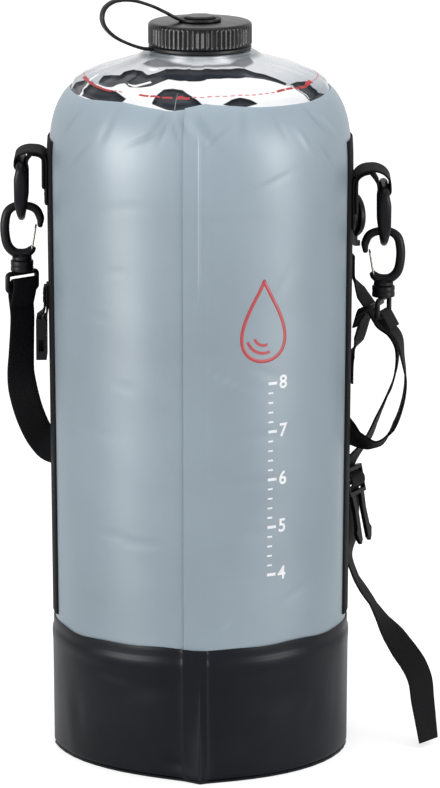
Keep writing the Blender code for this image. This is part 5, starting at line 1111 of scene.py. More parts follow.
class BAG_OT_cap(bpy.types.Operator):
    """Ribbed screw cap with its thread, its seal and the octagonal button"""

    bl_idname = "bag.cap"
    bl_label = "Cap"

    def execute(self, context):
        sizes = context.scene.bag_sizes
        skirt_z, ceiling_z = COLLAR_TOP_Z + TETHER_RING_T + 2 * GAP, CAP_TOP_Z - CAP_RIM_T
        hole_r = BUTTON_SHANK_R + 2 * GAP
        recess_r, recess_z = BUTTON_COLLAR_R + 0.003, CAP_TOP_Z - CAP_MIDDLE_T
        points = [(hole_r, CAP_TOP_Z)] + [(CAP_R - aside, CAP_TOP_Z - down) for aside, down in CAP_EDGE]
        points += [(CAP_R, z) for z in np.linspace(points[-1][1], skirt_z + 0.0006, 15)[1:]]
        points += [(CAP_R - 0.0004, skirt_z), (CAP_INNER_R, skirt_z), (CAP_INNER_R, ceiling_z),
                   (recess_r, ceiling_z), (recess_r, recess_z), (hole_r, recess_z)]

        def ribs(radius, height, turn):
            """Rounded grooves between the ribs: a power of a cosine, faded at the rim and the foot of the skirt."""
            fade = soft_step((CAP_TOP_Z - 0.0016 - height) / 0.0012) * soft_step((height - skirt_z - 0.0009) / 0.0008)
            groove = (0.5 - 0.5 * np.cos(sizes.ribs * turn)) ** 3
            return radius - np.where(radius > CAP_R - 0.0002, sizes.rib_depth * fade * groove, 0.0)

        form = lathe(Form(), points, sizes.ribs * 8, ribs=ribs)
        helix(form, CAP_INNER_R, -0.0013, 0.5)
        form.dressed("cap", "cap", "cap_shell", "cap", "black_plastic", 32.0)
        refinish(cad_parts["cap_seal"].data, "rubber")
        softened("tether_button", "button_rivet", "button", "cap", 2.0)
        return {"FINISHED"}


def softened(node, name, body, finish, share, smooth_deg=35.0):
    """A copy of a moulded node with its doubles merged and its edges rounded by a bevel, a share of the set radius."""
    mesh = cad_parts[node].data.copy()
    mesh.name = name
    form = bmesh.new()
    form.from_mesh(mesh)
    bmesh.ops.remove_doubles(form, verts=form.verts, dist=1e-6)
    bmesh.ops.dissolve_limit(form, angle_limit=math.radians(1.0), verts=form.verts, edges=form.edges)
    form.to_mesh(mesh)
    form.free()
    mesh.shade_smooth()
    mesh.set_sharp_from_angle(angle=math.radians(smooth_deg))
    refinish(mesh, finish)
    obj = bpy.data.objects.new(name, mesh)
    bpy.context.scene.collection.objects.link(obj)
    bevel = obj.modifiers.new("edges", "BEVEL")
    bevel.width = bpy.context.scene.bag_sizes.edge_radius * share
    bevel.segments = 2
    bevel.limit_method = "ANGLE"
    bevel.angle_limit = math.radians(smooth_deg)
    bevel.harden_normals = True
    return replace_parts(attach(obj, body), node)


class BAG_OT_tether(bpy.types.Operator):
    """Soft tether with an eye round the button and a ring round the neck"""

    bl_idname = "bag.tether"
    bl_label = "Tether"

    def execute(self, context):
        low, eye_low = COLLAR_TOP_Z + GAP, CAP_TOP_Z + GAP
        inner_r, ring_r, hole_r = NECK_R + 0.0021, CAP_R - GAP, BUTTON_SHANK_R + 2 * GAP
        form = lathe(Form(), eased(((inner_r, low), (ring_r, low), (ring_r, low + TETHER_RING_T),
                                    (inner_r, low + TETHER_RING_T)), 0.0009), 120)
        lathe(form, eased(((hole_r, eye_low), (TETHER_EYE_R, eye_low), (TETHER_EYE_R, eye_low + TETHER_EYE_T),
                           (hole_r, eye_low + TETHER_EYE_T)), 0.0005), 72)
        out = heading(180.0 + TETHER_TURN_DEG)
        across = np.cross(UP, out)
        eye_mid, ring_mid = eye_low + TETHER_EYE_T / 2, low + TETHER_RING_T / 2
        reach = [TETHER_EYE_R * 0.6, TETHER_EYE_R * 0.95] + [TETHER_REACH * s for s in TETHER_OUT_SHARES]
        reach += [ring_r, ring_r - TETHER_RING_T / 3]
        rise = [eye_mid] * 2 + [ring_mid + TETHER_RISE * s for s in TETHER_UP_SHARES] + [ring_mid] * 2
        path = smooth_path([out * r + UP * z for r, z in zip(reach, rise)], 9)
        rings, flat = ribbon_rings(path, np.broadcast_to(across, path.shape), TETHER_W, TETHER_T)
        form.tube(rings, flat=flat)
        obj = form.made("tether_band", ("rubber",), "black_rubber", 45.0)
        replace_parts(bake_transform(obj), "tether")
        return {"FINISHED"}


# Carrying gear

def strip_face(z):
    """Outer face of the side strips at a height."""
    return body_radius(z) + GAP + STRIP_T


def bar_place(side):
    """Middle of the D-ring's bar at a side."""
    z = LOOP_BAR_Z[side]
    return np.array((SIDE_SIGN[side] * (strip_face(z) + GAP + WEB_T / 2 + LOOP_REACH[side]), 0.0, z))


class BAG_OT_loops(bpy.types.Operator):
    """Webbing folded round the bar of each D-ring, sewn to the side strips"""

    bl_idname = "bag.loops"
    bl_label = "Loops"

    def execute(self, context):
        for side in (LEFT, RIGHT):
            z = LOOP_BAR_Z[side]
            base = strip_face(z) + GAP + WEB_T / 2
            reach, rise = LOOP_REACH[side], LOOP_RISE[side]
            fold, layer = RING_BAR_R + GAP + WEB_T / 2, WEB_T + GAP
            half, spring = (reach + fold) / 2, rise / 4
            outer = arc((half, z + spring), half, rise - spring, 165, 15, 13)
            turn = arc((reach, z), fold, fold, 0, -180, 11)
            inner = arc((half, z + spring), half - layer, rise - spring - layer, 100, 165, 7)
            route = [(0.0, z - LOOP_LEG), (0.0, z - LOOP_LEG / 2), (0.0, z)] + outer + turn
            route += [(reach - fold, z + spring)] + inner + [(layer, z), (layer, z - LOOP_TAIL)]
            path = smooth_path([(SIDE_SIGN[side] * (base + u), 0.0, v) for u, v in route], 4)
            fall = (LOOP_W / 2) ** 2 / (2 * strip_face(z))
            cup = fall * np.clip(1.0 - (np.abs(path[:, 0]) - base) / (reach / 2), 0.0, 1.0)
            upward = np.where(np.arange(len(path)) < len(path) / 2, 1.0, -1.0)
            rings, flat = ribbon_rings(path, np.broadcast_to((0.0, 1.0, 0.0), path.shape), LOOP_W, WEB_T,
                                       -cup * upward * SIDE_SIGN[side])
            form = Form().tube(rings, flat=flat)
            form.dressed("loop_webbing_" + SIDE_NAME[side], "bag", "loop_" + SIDE_NAME[side], "web", "webbing", 45.0)
        return {"FINISHED"}


class BAG_OT_rings(bpy.types.Operator):
    """D-ring of each side: a bar of oval section along a straight, two sides and a bow"""

    bl_idname = "bag.rings"
    bl_label = "D-rings"

    def execute(self, context):
        for side in (LEFT, RIGHT):
            bar = bar_place(side)
            half, corner, straight = (RING_INNER_W + RING_SIDE_T) / 2, RING_SIDE_T, RING_DROP / 5
            top = [(y, 0.0) for y in np.linspace(-half + corner, half - corner, 9)]
            route = top + arc((half - corner, -corner), corner, corner, 78, 0, 7) + [(half, -straight)]
            bow = arc((0.0, -straight), half, RING_DROP - straight, 0, -180, 49)
            route += bow[1:-1] + [(-half, -straight)] + arc((-half + corner, -corner), corner, corner, 180, 102, 7)
            path = np.array([bar + np.array((0.0, y, z)) for y, z in route])
            depth = -(path[:, 2] - bar[2]) / RING_DROP
            sides = np.clip(depth * 6.0 - 0.35, 0.0, 1.0) * np.clip((1.0 - depth) * 3.0, 0.0, 1.0)
            low = np.clip(depth * 2.0 - 1.0, 0.0, 1.0)
            half_x, half_in = (RING_BAR_R + (at_side - RING_BAR_R) * sides + (at_bow - RING_BAR_R) * low * (1 - sides)
                               for at_side, at_bow in ((RING_SIDE_DEPTH / 2, RING_BOW_R),
                                                       (RING_SIDE_T / 2, RING_BOW_T / 2)))
            form = Form().tube(bar_rings(path, 24, half_x, half_in, (1.0, 0.0, 0.0), closed=True), closed=True)
            name = "ring_" + SIDE_NAME[side]
            form.dressed("d_" + name, name, name, "plastic", "black_plastic")
        return {"FINISHED"}


def hook_foot(side):
    """Foot of the hook's shank at a side, where it stands on the swivel."""
    top_inside = HOOK_H * HOOK_UP_SHARES[4] - HOOK_TUBE * HOOK_TUBE_SHARES[4] / 2
    return bar_place(side) + UP * (RING_BOW_T / 2 + 2 * GAP - top_inside - RING_DROP)


def hook_point(side, shares):
    """A place on the hook, given as shares of its width and height."""
    return hook_foot(side) + np.array((SIDE_SIGN[side] * shares[0] * HOOK_W, 0.0, shares[1] * HOOK_H))


class BAG_OT_hooks(bpy.types.Operator):
    """Snap hook, wire gate and swivel of each side"""

    bl_idname = "bag.hooks"
    bl_label = "Snap hooks"

    def execute(self, context):
        for side in (LEFT, RIGHT):
            self.hook(side)
            self.gate(side)
            self.swivel(side)
        return {"FINISHED"}

    def hook(self, side):
        """A tube whose radius follows a table along a smooth path, on a turned base with a headed shank."""
        path = smooth_path([hook_point(side, s) for s in zip(HOOK_OUT_SHARES, HOOK_UP_SHARES)], 7)
        tubes = blended(HOOK_TUBE_SHARES, 7)[:, 0] * HOOK_TUBE / 2
        tubes[:3] *= np.array((0.55, 0.82, 0.95))
        form = Form().tube(bar_rings(path, 20, tubes, tubes, (0.0, 1.0, 0.0)))
        head = -SWIVEL_ROOF - 2 * GAP
        base = ((0.0, HOOK_BASE_H + 0.002), (HOOK_BASE_R * 0.55, HOOK_BASE_H + 0.002), (HOOK_BASE_R, HOOK_BASE_H),
                (HOOK_BASE_R, 0.0), (SHANK_R, 0.0), (SHANK_R, head), (SHANK_HEAD_R, head),
                (SHANK_HEAD_R, head - SHANK_HEAD_T), (0.0, head - SHANK_HEAD_T))
        lathe(form, eased(base, 0.0004, closed=False), 40, hook_foot(side))
        name = "hook_" + SIDE_NAME[side]
        form.dressed("snap_" + name, name, name, "plastic", "black_plastic")

    def gate(self, side):
        """A closed loop of round wire through the hook's pivot and over its nose."""
        low, high = hook_point(side, GATE_PIVOT_SHARES), hook_point(side, GATE_TOP_SHARES)
        up, length = unit(high - low), np.linalg.norm(high - low)
        route = rounded_box(GATE_SPREAD / 2, 0.0, length, GATE_WIRE, upright=True)
        path = np.array([low + np.array((0.0, y, 0.0)) + up * v for y, v in route])
        normal = np.cross((0.0, 1.0, 0.0), up)
        form = Form().tube(bar_rings(path, 14, GATE_WIRE / 2, GATE_WIRE / 2, normal, closed=True), closed=True)
        name = "gate_" + SIDE_NAME[side]
        form.dressed("wire_" + name, name, name, "wire", "steel_wire", 60.0)

    def swivel(self, side):
        """A turned collar with a closed eye of round bar below it."""
        foot = hook_foot(side)
        low, bore, hollow = -GAP - SWIVEL_H, SHANK_R + GAP, SHANK_HEAD_R + 2 * GAP
        mid = (-GAP + low) / 2
        collar = ((bore, -GAP), (SWIVEL_R, -GAP), (SWIVEL_R, mid + SWIVEL_GROOVE),
                  (SWIVEL_R - 0.8 * SWIVEL_GROOVE, mid), (SWIVEL_R, mid - SWIVEL_GROOVE), (SWIVEL_R, low),
                  (hollow, low), (hollow, -SWIVEL_ROOF), (bore, -SWIVEL_ROOF))
        form = lathe(Form(), eased(collar, 0.0007), 48, foot)
        route = rounded_box(WEB_W / 2 + EYE_BAR_R + 2 * GAP, -EYE_DROP, -EYE_TOP, EYE_BAR_R + GAP)
        across = heading(EYE_TURN_DEG[side])
        path = np.array([foot + across * u + UP * v for u, v in route])
        form.tube(bar_rings(path, 16, EYE_BAR_R, EYE_BAR_R, np.cross(across, UP), closed=True), closed=True)
        name = SIDE_NAME[side]
        form.dressed("swivel_" + name, "eye_" + name, "eye_" + name, "plastic", "black_plastic")


# Straps

def eye_bar(side):
    """Middle of the lower bar of a swivel's eye, and the way the bar lies."""
    return hook_foot(side) - UP * EYE_DROP, heading(EYE_TURN_DEG[side])


def folded_end(bar, across, radius, rise, towards):
    """Places of a strap's end from its sewn tip, over a bar, to where the strap sets off towards a place. The fold
    is half an ellipse that stands up by rise over the bar's middle."""
    pull = towards - bar
    pull = unit(pull - across * np.dot(pull, across))
    face = np.cross(across, pull)
    over = [bar + radius * math.cos(a) * face - rise * math.sin(a) * pull for a in np.linspace(math.pi, 0.0, 7)]
    return [bar - face * radius * 0.85 + pull * WEB_W * 0.55] + over


def strap_parts(name, path, lies, parts, node, width=WEB_W):
    """Cut a strap at places of its path into closed lengths that meet end to end. Each part is (first place, last
    place, body) to ride on one body, or (first, last, body, other body), whose bodies are not used: that length
    keeps its place and rides on no body."""
    rings, flat = ribbon_rings(path, lies, width, WEB_T)
    for k, (first, last, *bodies) in enumerate(parts):
        form = Form().tube(rings[first:last + 1], flat=flat[first:last + 1])
        obj = form.made(f"{name}_{k + 1}" if len(parts) > 1 else name, ("web",), "webbing", 45.0)
        if len(bodies) == 1:
            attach(obj, bodies[0])
        else:
            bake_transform(obj)
        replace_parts(obj, node)


# How high the slack fold of the left end stands in the swivel's eye
SLACK_RISE = 0.0082
STRAP_STEPS = 6
# Where the strap is cut, in places from the end of each fold: the swivel's end, the hook's, the ring's and the bag's
LEFT_CUTS, RIGHT_CUTS = (-4, 3, 16, 36), (0, 12, 24, 36)


class BAG_OT_shoulder_strap(bpy.types.Operator):
    """Long strap between the two swivels, behind the bag"""

    bl_idname = "bag.shoulder_strap"
    bl_label = "Shoulder strap"

    def execute(self, context):
        fold = EYE_BAR_R + GAP + WEB_T / 2
        (left_bar, left), (right_bar, right) = eye_bar(LEFT), eye_bar(RIGHT)
        middle = scaled(SHOULDER_SHARES)
        start = folded_end(left_bar, left, fold, SLACK_RISE, middle[0])
        stop = folded_end(right_bar, right, fold, fold, middle[-1])[::-1]
        route = start + middle + stop
        lies = [left] * len(start) + [np.array(v) for v in SHOULDER_WIDTH_SHARES] + [-right] * len(stop)
        path, ways = smooth_path(route, STRAP_STEPS), blended(lies, STRAP_STEPS)
        last = len(path) - 1
        cuts = [0] + [len(start) * STRAP_STEPS + k for k in LEFT_CUTS]
        cuts += [last - len(stop) * STRAP_STEPS - k for k in RIGHT_CUTS[::-1]] + [last]
        bodies = (("eye_left",), ("eye_left", "hook_left"), ("hook_left", "ring_left"), ("ring_left", "bag"), ("bag",),
                  ("bag", "ring_right"), ("ring_right", "hook_right"), ("hook_right", "eye_right"), ("eye_right",))
        parts = [(cuts[k], cuts[k + 1], *pair) for k, pair in enumerate(bodies)]
        strap_parts("carry_strap", path, ways, parts, "shoulder_strap")
        return {"FINISHED"}


ANCHOR_OUT = heading(ANCHOR_DEG)
ANCHOR_WAY = np.cross(UP, ANCHOR_OUT)


def sewn_end(heights):
    """Places of a strap's end that is sewn to the right strip, of which the last one lifts off it."""
    lifts = [GAP + WEB_T / 2] * (len(heights) - 1) + [GAP + WEB_T]
    return [ANCHOR_OUT * (strip_face(z) + lift) + UP * z for z, lift in zip(heights, lifts)]


def buckle_frame():
    """Middle of the male buckle's ladder, and the ways across it, down it and out of it."""
    lean = math.radians(BUCKLE_LEAN_DEG)
    across = heading(BUCKLE_TURN_DEG)
    down = np.cross(across, UP) * math.sin(lean) - UP * math.cos(lean)
    return scaled((BUCKLE_SHARES,))[0], across, down, np.cross(down, across)


def ladder_weave():
    """Places of the strap in the ladder: behind the top rail, over the bar, behind the lower rail."""
    middle, across, down, out = buckle_frame()
    off = BUCKLE_T / 2 + GAP + WEB_T / 2 + FUSE / 2
    slot_mid, edge = (BUCKLE_BAR + BUCKLE_SLOT) / 2, BUCKLE_SLOT / 2
    upper = ((-slot_mid - edge * 1.9, -off), (-slot_mid - edge * 0.95, -off), (-slot_mid - edge * 0.57, -off * 0.75),
             (-slot_mid, 0.0), (-slot_mid + edge * 0.57, off * 0.75), (-slot_mid + edge * 0.95, off))
    lower = tuple((-d, t) for d, t in reversed(upper))
    return [middle + down * d + out * t for d, t in upper + lower]


def keeper_frame():
    """Middle of the keeper ring's lower bar, beside the adjusting strap that runs through it, and the bar's way."""
    here, following = scaled((KEEPER_SHARES, ADJUST_SHARES[2]))
    along = unit(following - here)
    across = unit(np.array(ADJUST_WIDTH_SHARES[1]))
    across = unit(across - along * np.dot(across, along))
    face = np.cross(across, along)
    side = face if face[0] < 0.0 else -face
    return here + side * KEEPER_HALF_H, across


class BAG_OT_adjusting_straps(bpy.types.Operator):
    """Adjusting strap with its tail, keeper strap, and the tab of the female buckle"""

    bl_idname = "bag.adjusting_straps"
    bl_label = "Adjusting straps"

    def execute(self, context):
        steps, bend_in, bend_out = 5, 7, 6
        anchor, weave, across = sewn_end(ADJUST_ANCHOR_Z), ladder_weave(), buckle_frame()[1]
        route = anchor + scaled(ADJUST_SHARES) + weave + scaled(TAIL_SHARES)
        lies = [ANCHOR_WAY] * len(anchor) + [np.array(v) for v in ADJUST_WIDTH_SHARES] + [across] * len(weave)
        lies += [np.array(v) for v in TAIL_WIDTH_SHARES]
        path, ways = smooth_path(route, steps), blended(lies, steps)
        into = (len(anchor) + len(ADJUST_SHARES)) * steps
        out_of = into + (len(weave) - 1) * steps
        held, loose = into - bend_in * steps, out_of + bend_out * steps
        parts = [(0, held, "bag"), (held, into, "bag", "male_buckle"), (into, out_of, "male_buckle"),
                 (out_of, loose, "male_buckle", "bag"), (loose, len(path) - 1, "bag")]
        strap_parts("adjusting_strap", path, ways, parts, "adjust_strap")
        self.keeper()
        self.tab()
        return {"FINISHED"}

    def keeper(self):
        """The short strap that holds the wire keeper, folded round its bar and sewn to the wall."""
        bar, across = keeper_frame()
        fold = KEEPER_WIRE_R + GAP + WEB_T / 2
        sewn = sewn_end(KEEPER_ANCHOR_Z)
        high = sewn[-1]
        pull = unit(bar - high - UP * WEB_W * 0.35)
        pull = unit(pull - across * np.dot(pull, across))
        out = np.cross(across, pull)
        out = out if out[0] > 0.0 else -out
        turns = [bar + fold * (math.cos(math.radians(a)) * out + math.sin(math.radians(a)) * pull)
                 for a in np.linspace(-10, 190, 8)]
        leave = bar - pull * fold * 2.2 + out * fold * 0.55
        back = [bar - pull * fold * 1.2 - out * fold * 0.98, bar - pull * KEEPER_TAIL - out * fold * 0.75]
        route = sewn + [(high + leave) / 2 + np.array((GAP, 0.0, -WEB_T)), leave] + turns + back
        lies = [ANCHOR_WAY] * len(sewn) + [across] * (len(route) - len(sewn))
        path = smooth_path(route, 5)
        strap_parts("keeper_web", path, blended(lies, 5), [(0, len(path) - 1, "bag")], "keeper_strap")

    def tab(self):
        """The tab that holds the female buckle, folded round its bar and sewn to the wall."""
        z = FEMALE_BAR_Z
        base = strip_face(z) + GAP + WEB_T / 2
        fold = FEMALE_BAR_R * math.sqrt(2.0) + GAP + WEB_T / 2
        reach, layer = strip_face(z) + FEMALE_OUT - base, WEB_T + GAP
        route = [(0.0, TAB_LEG + layer), (0.0, fold * 2), (reach - fold, fold / 2)]
        route += arc((reach, 0.0), fold, fold, -180, 60, 9) + [(layer + fold / 3, fold * 1.6), (layer, fold * 2.6)]
        route += [(layer, TAB_LEG)]
        path = smooth_path([(-(base + u), 0.0, z + v) for u, v in route], 5)
        strap_parts("buckle_web", path, np.broadcast_to((0.0, 1.0, 0.0), path.shape),
                    [(0, len(path) - 1, "bag")], "buckle_tab", width=TAB_W)


# Fittings that keep the shape of their solids: node, piece, body, finish, share of the edge radius
FITTINGS = (
    ("keeper_ring", "keeper_wire", "keeper", "plastic", 0.5),
    ("buckle_male", "prong_buckle", "male_buckle", "plastic", 1.0),
    ("buckle_female", "socket_buckle", "female_buckle", "plastic", 1.0),
    ("air_valve_body", "valve_barrel", "bag", "plastic", 1.0), ("valve_cap", "valve_lid", "air_cap", "plastic", 1.0),
    ("valve_disc", "valve_membrane", "air_disc", "rubber", 0.6), ("outlet_spigot", "spigot", "bag", "plastic", 1.0),
    ("outlet_cap", "spigot_plug", "outlet_plug", "rubber", 1.0),
)


class BAG_OT_fittings(bpy.types.Operator):
    """Keeper ring, both halves of the buckle, the air valve and the outlet, with rounded edges"""

    bl_idname = "bag.fittings"
    bl_label = "Fittings"

    def execute(self, context):
        for node, name, body, finish, share in FITTINGS:
            softened(node, name, body, finish, share)
        return {"FINISHED"}


# Printed marks

def print_line(form, row, deg, half_width, closed=False, extra=0.0):
    """A flat raised line along places of the body's surface: a low box section carried along them."""
    height = bpy.context.scene.bag_sizes.print_height
    z = outline(row)[1]
    base = swell(deg, z) + in_lap(deg) * LAP_STEP + extra
    path = surface(row, deg, base)
    out = unit(surface(row, deg, base + 0.001) - path)
    across = unit(np.cross(directions(path, closed), out))
    corners = ((1.0, 0.3), (0.9, 1.0), (-0.9, 1.0), (-1.0, 0.3), (-1.0, -0.3), (1.0, -0.3))
    rings = np.stack([path + across * half_width * u + out * height * v for u, v in corners], axis=1)
    return form.tube(rings, closed=closed)


def wall_line(form, places, half_width, closed=False):
    """A printed line on the wall through places given as (metres round the bag from the front, height)."""
    p = np.array(places, float)
    if not closed:
        spots = run_along(p)
        fine = np.linspace(0.0, spots[-1], max(2, int(spots[-1] / 0.001)))
        p = np.stack([np.interp(fine, spots, p[:, k]) for k in (0, 1)], axis=-1)
    deg = FRONT_DEG + np.degrees(p[:, 0] / BODY_R)
    return print_line(form, row_at(p[:, 1]), deg, half_width, closed=closed)


def wall_number(form, text, aside, level, size):
    """A number from the built-in font, bent onto the wall: its plane becomes distance round the bag and height."""
    curve = bpy.data.curves.new("number", "FONT")
    curve.body, curve.size = text, size
    curve.align_x, curve.align_y = "LEFT", "CENTER"
    curve.offset = size * 0.02
    holder = bpy.data.objects.new("number", curve)
    bpy.context.scene.collection.objects.link(holder)
    bpy.context.view_layer.update()
    mesh = holder.evaluated_get(bpy.context.evaluated_depsgraph_get()).to_mesh()
    shape = bmesh.new()
    shape.from_mesh(mesh)
    bmesh.ops.remove_doubles(shape, verts=shape.verts, dist=1e-6)
    bmesh.ops.triangulate(shape, faces=shape.faces)
    bmesh.ops.subdivide_edges(shape, edges=[e for e in shape.edges if e.calc_length() > 0.002], cuts=2)
    bmesh.ops.triangulate(shape, faces=shape.faces)
    points = np.array([v.co[:2] for v in shape.verts])
    faces = [tuple(v.index for v in f.verts) for f in shape.faces]
    border = [tuple(v.index for v in e.verts) for e in shape.edges if len(e.link_faces) == 1]
    shape.free()
    bpy.data.objects.remove(holder)
    bpy.data.curves.remove(curve)
    deg = FRONT_DEG + np.degrees((points[:, 0] + aside) / BODY_R)
    z = points[:, 1] + level
    base = swell(deg, z)
    height = bpy.context.scene.bag_sizes.print_height
    top, low = surface(row_at(z), deg, base + height), surface(row_at(z), deg, base - height / 2)
    count = len(points)
    all_faces = faces + [tuple(v + count for v in f[::-1]) for f in faces]
    oriented = {(f[k], f[(k + 1) % 3]) for f in faces for k in range(3)}
    for a, b in border:
        a, b = (a, b) if (a, b) in oriented else (b, a)
        all_faces.append((b, a, a + count, b + count))
    return form.add(np.concatenate([top, low]), all_faces)


# The marks stand at the heights that 4 to 8 litres of water reach in the bag
SCALE_ASIDE, SCALE_FOOT_Z, LITRE_RISE, LITRES = 0.0545, 0.1405, 0.0325, (4, 5, 6, 7, 8)
# Its numbers, and its marks as (start, end, half width), all aside from the scale's line
NUMBER_ASIDE, NUMBER_H, LONG_MARK, SHORT_MARK = 0.0012, 0.0125, (-0.0072, -0.0006, 0.0010), (-0.0072, -0.0036, 0.0006)
DROP_ASIDE, DROP_Z, DROP_W, DROP_H, DROP_HALF_LINE, WAVE_HALF_LINE = 0.0440, 0.3130, 0.040, 0.054, 0.0012, 0.0010
# The two curved lines of water in the drop: their radii as shares of its half width, and how far below its middle
WAVE_SHARES, WAVE_DOWN = (0.62, 0.36), DROP_H * 0.17
# Red fill line: rows, and its stretches as first angle, last angle, dashes, share of each that is inked, half width
FILL_TABLE = ((-90, 55.6), (-72, 55.0), (-57.5, 53.2), (-44.5, 51.5), (-23.5, 50.8), (-7, 52.0), (14, 51.0),
              (24, 51.2), (34.5, 51.8), (48, 53.2), (66.5, 54.2), (90, 54.4))
FAINT_HALF_W = 0.0006
FILL_DASHES = ((-174.0, -134.5, 5, 0.98, 0.0013), (-134.0, -127.0, 2, 0.6, FAINT_HALF_W),
               (-119.0, -102.0, 3, 0.85, 0.0009), (-100.5, -94.5, 1, 1.0, 0.0018),
               (-93.5, -51.0, 12, 0.6, FAINT_HALF_W), (-51.0, -33.0, 3, 0.85, 0.0010),
               (-33.0, -21.0, 2, 0.97, 0.0016), (-19.0, 184.0, 46, 0.6, FAINT_HALF_W))


class BAG_OT_print(bpy.types.Operator):
    """White litre scale, red water drop and red fill line"""

    bl_idname = "bag.print"
    bl_label = "Printed marks"

    def execute(self, context):
        scale = Form()
        for k in range(5 * len(LITRES) - 4):
            z = SCALE_FOOT_Z + k * LITRE_RISE / 5
            start, end, half_width = SHORT_MARK if k % 5 else LONG_MARK
            wall_line(scale, ((SCALE_ASIDE + start, z), (SCALE_ASIDE + end, z)), half_width)
            if k % 5 == 0:
                wall_number(scale, str(LITRES[k // 5]), SCALE_ASIDE + NUMBER_ASIDE, z, NUMBER_H)
        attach(scale.made("litre_scale", ("white_ink",)), "bag")

        drop = Form()
        t = np.linspace(0.0, 2.0 * math.pi, 97)[:-1]
        across = DROP_W / 2 * np.sin(t) * np.sin(t / 2.0) ** 1.5 * 1.12
        up = DROP_H / 2 * np.cos(t)
        wall_line(drop, np.stack([DROP_ASIDE + across, DROP_Z + up], axis=-1), DROP_HALF_LINE, closed=True)
        for share in WAVE_SHARES:
            radius = DROP_W / 2 * share
            wall_line(drop, arc((DROP_ASIDE, DROP_Z - WAVE_DOWN), radius, radius, 200.0, 290.0, 24), WAVE_HALF_LINE)
        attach(drop.made("water_drop", ("red_ink",)), "bag")

        line, wear_and_painted_light = Form(), Form()
        for start, end, dashes, filled, half_width in FILL_DASHES:
            for k in range(dashes):
                first = start + (end - start) * k / dashes
                deg = np.linspace(first, first + (end - start) * filled / dashes, 9)
                row = table_at(FILL_TABLE, deg)
                lift = film_lift(row[None, :], deg)[0] - swell(deg, outline(row)[1]) - in_lap(deg) * LAP_STEP
                print_line(line if half_width > FAINT_HALF_W else wear_and_painted_light, row, deg, half_width, extra=lift)
        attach(line.made("fill_line", ("red_ink",)), "bag")
        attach(wear_and_painted_light.made("fill_line_worn", ("worn_ink",)), "bag")
        return {"FINISHED"}


# Stitching: how far its threads lie off the webbing, the rows across each loop and their half length, and the half
# width and half height of the sewn boxes of an anchor and of the buckle's tab
THREAD_OFF, LOOP_ROWS, LOOP_ROW_HALF = 0.0001, (-0.0125, 0.0, 0.0125), 0.009
ANCHOR_BOX, TAB_BOX = (0.0075, 0.0035), (0.0055, 0.0040)


def stitch(form, middle, along, across, out, length=0.0026, radius=0.00032):
    """One stitch: a bead of six sides whose radius follows a half sine along it."""
    spots = np.linspace(-0.5, 0.5, 5)
    radii = radius * np.array((0.35, 0.9, 1.0, 0.9, 0.35))
    turns = 2.0 * math.pi * np.arange(6) / 6
    ring = np.cos(turns)[:, None] * across + np.sin(turns)[:, None] * out * 0.8
    rings = middle + along * (spots * length)[:, None, None] + ring[None] * radii[:, None, None]
    return form.tube(rings)


def seam_of_stitches(form, path, out, spacing=0.0034):
    """Stitches at a spacing along a path, each turned along it, lying on the side that out points to."""
    run = run_along(path)
    for spot in np.arange(spacing / 2, run[-1], spacing):
        here, ahead = (np.array([np.interp(s, run, path[:, k]) for k in range(3)]) for s in (spot - 1e-4, spot + 1e-4))
        along = unit(ahead - here)
        stitch(form, (here + ahead) / 2, along, unit(np.cross(along, out)), out)
    return form


def box_stitch(form, middle, across, out, half_w, half_h):
    """A sewn upright box with a cross in it."""
    corners = [middle + across * half_w * u + UP * half_h * v for u, v in ((1, 1), (-1, 1), (-1, -1), (1, -1))]
    for a, b in ((0, 1), (1, 2), (2, 3), (3, 0), (0, 2), (1, 3)):
        seam_of_stitches(form, np.array([corners[a], corners[b]]), out)


class BAG_OT_stitching(bpy.types.Operator):
    """Thread where the webbing is sewn to the strips"""

    bl_idname = "bag.stitching"
    bl_label = "Stitching"

    def execute(self, context):
        form = Form()
        for side in (LEFT, RIGHT):
            z = LOOP_BAR_Z[side] - LOOP_LEG * 0.55
            out = np.array((SIDE_SIGN[side], 0.0, 0.0))
            for y in LOOP_ROWS:
                reach = math.sqrt(strip_face(z) ** 2 - y * y) + GAP + WEB_T + THREAD_OFF
                path = np.array([(SIDE_SIGN[side] * reach, y, z + d) for d in (-LOOP_ROW_HALF, LOOP_ROW_HALF)])
                seam_of_stitches(form, path, out)
        for heights in (ADJUST_ANCHOR_Z, KEEPER_ANCHOR_Z):
            z = (heights[0] + heights[1]) / 2
            middle = ANCHOR_OUT * (strip_face(z) + GAP + WEB_T + THREAD_OFF) + UP * z
            box_stitch(form, middle, ANCHOR_WAY, ANCHOR_OUT, *ANCHOR_BOX)
        z = FEMALE_BAR_Z + TAB_LEG * 0.72
        middle = np.array((-(strip_face(z) + GAP + WEB_T * 2 + GAP + THREAD_OFF), 0.0, z))
        box_stitch(form, middle, np.array((0.0, 1.0, 0.0)), np.array((-1.0, 0.0, 0.0)), *TAB_BOX)
        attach(form.made("stitches", ("thread",), "webbing", 60.0), "bag")
        return {"FINISHED"}


# Stage

def area_light(name, place, target, size, size_y, power):
    """A rectangular lamp that faces a target."""
    lamp = bpy.data.lights.new(name, "AREA")
    lamp.shape, lamp.size, lamp.size_y, lamp.energy = "RECTANGLE", size, size_y, power
    obj = bpy.data.objects.new(name, lamp)
    bpy.context.scene.collection.objects.link(obj)
    way = unit(np.array(target, float) - np.array(place, float))
    back = -way
    across = unit(np.cross(UP if abs(way[2]) < 0.99 else (0.0, 1.0, 0.0), back))
    up = np.cross(back, across)
    obj.matrix_world = Matrix([[across[k], up[k], back[k], place[k]] for k in range(3)] + [[0, 0, 0, 1]])
    return obj


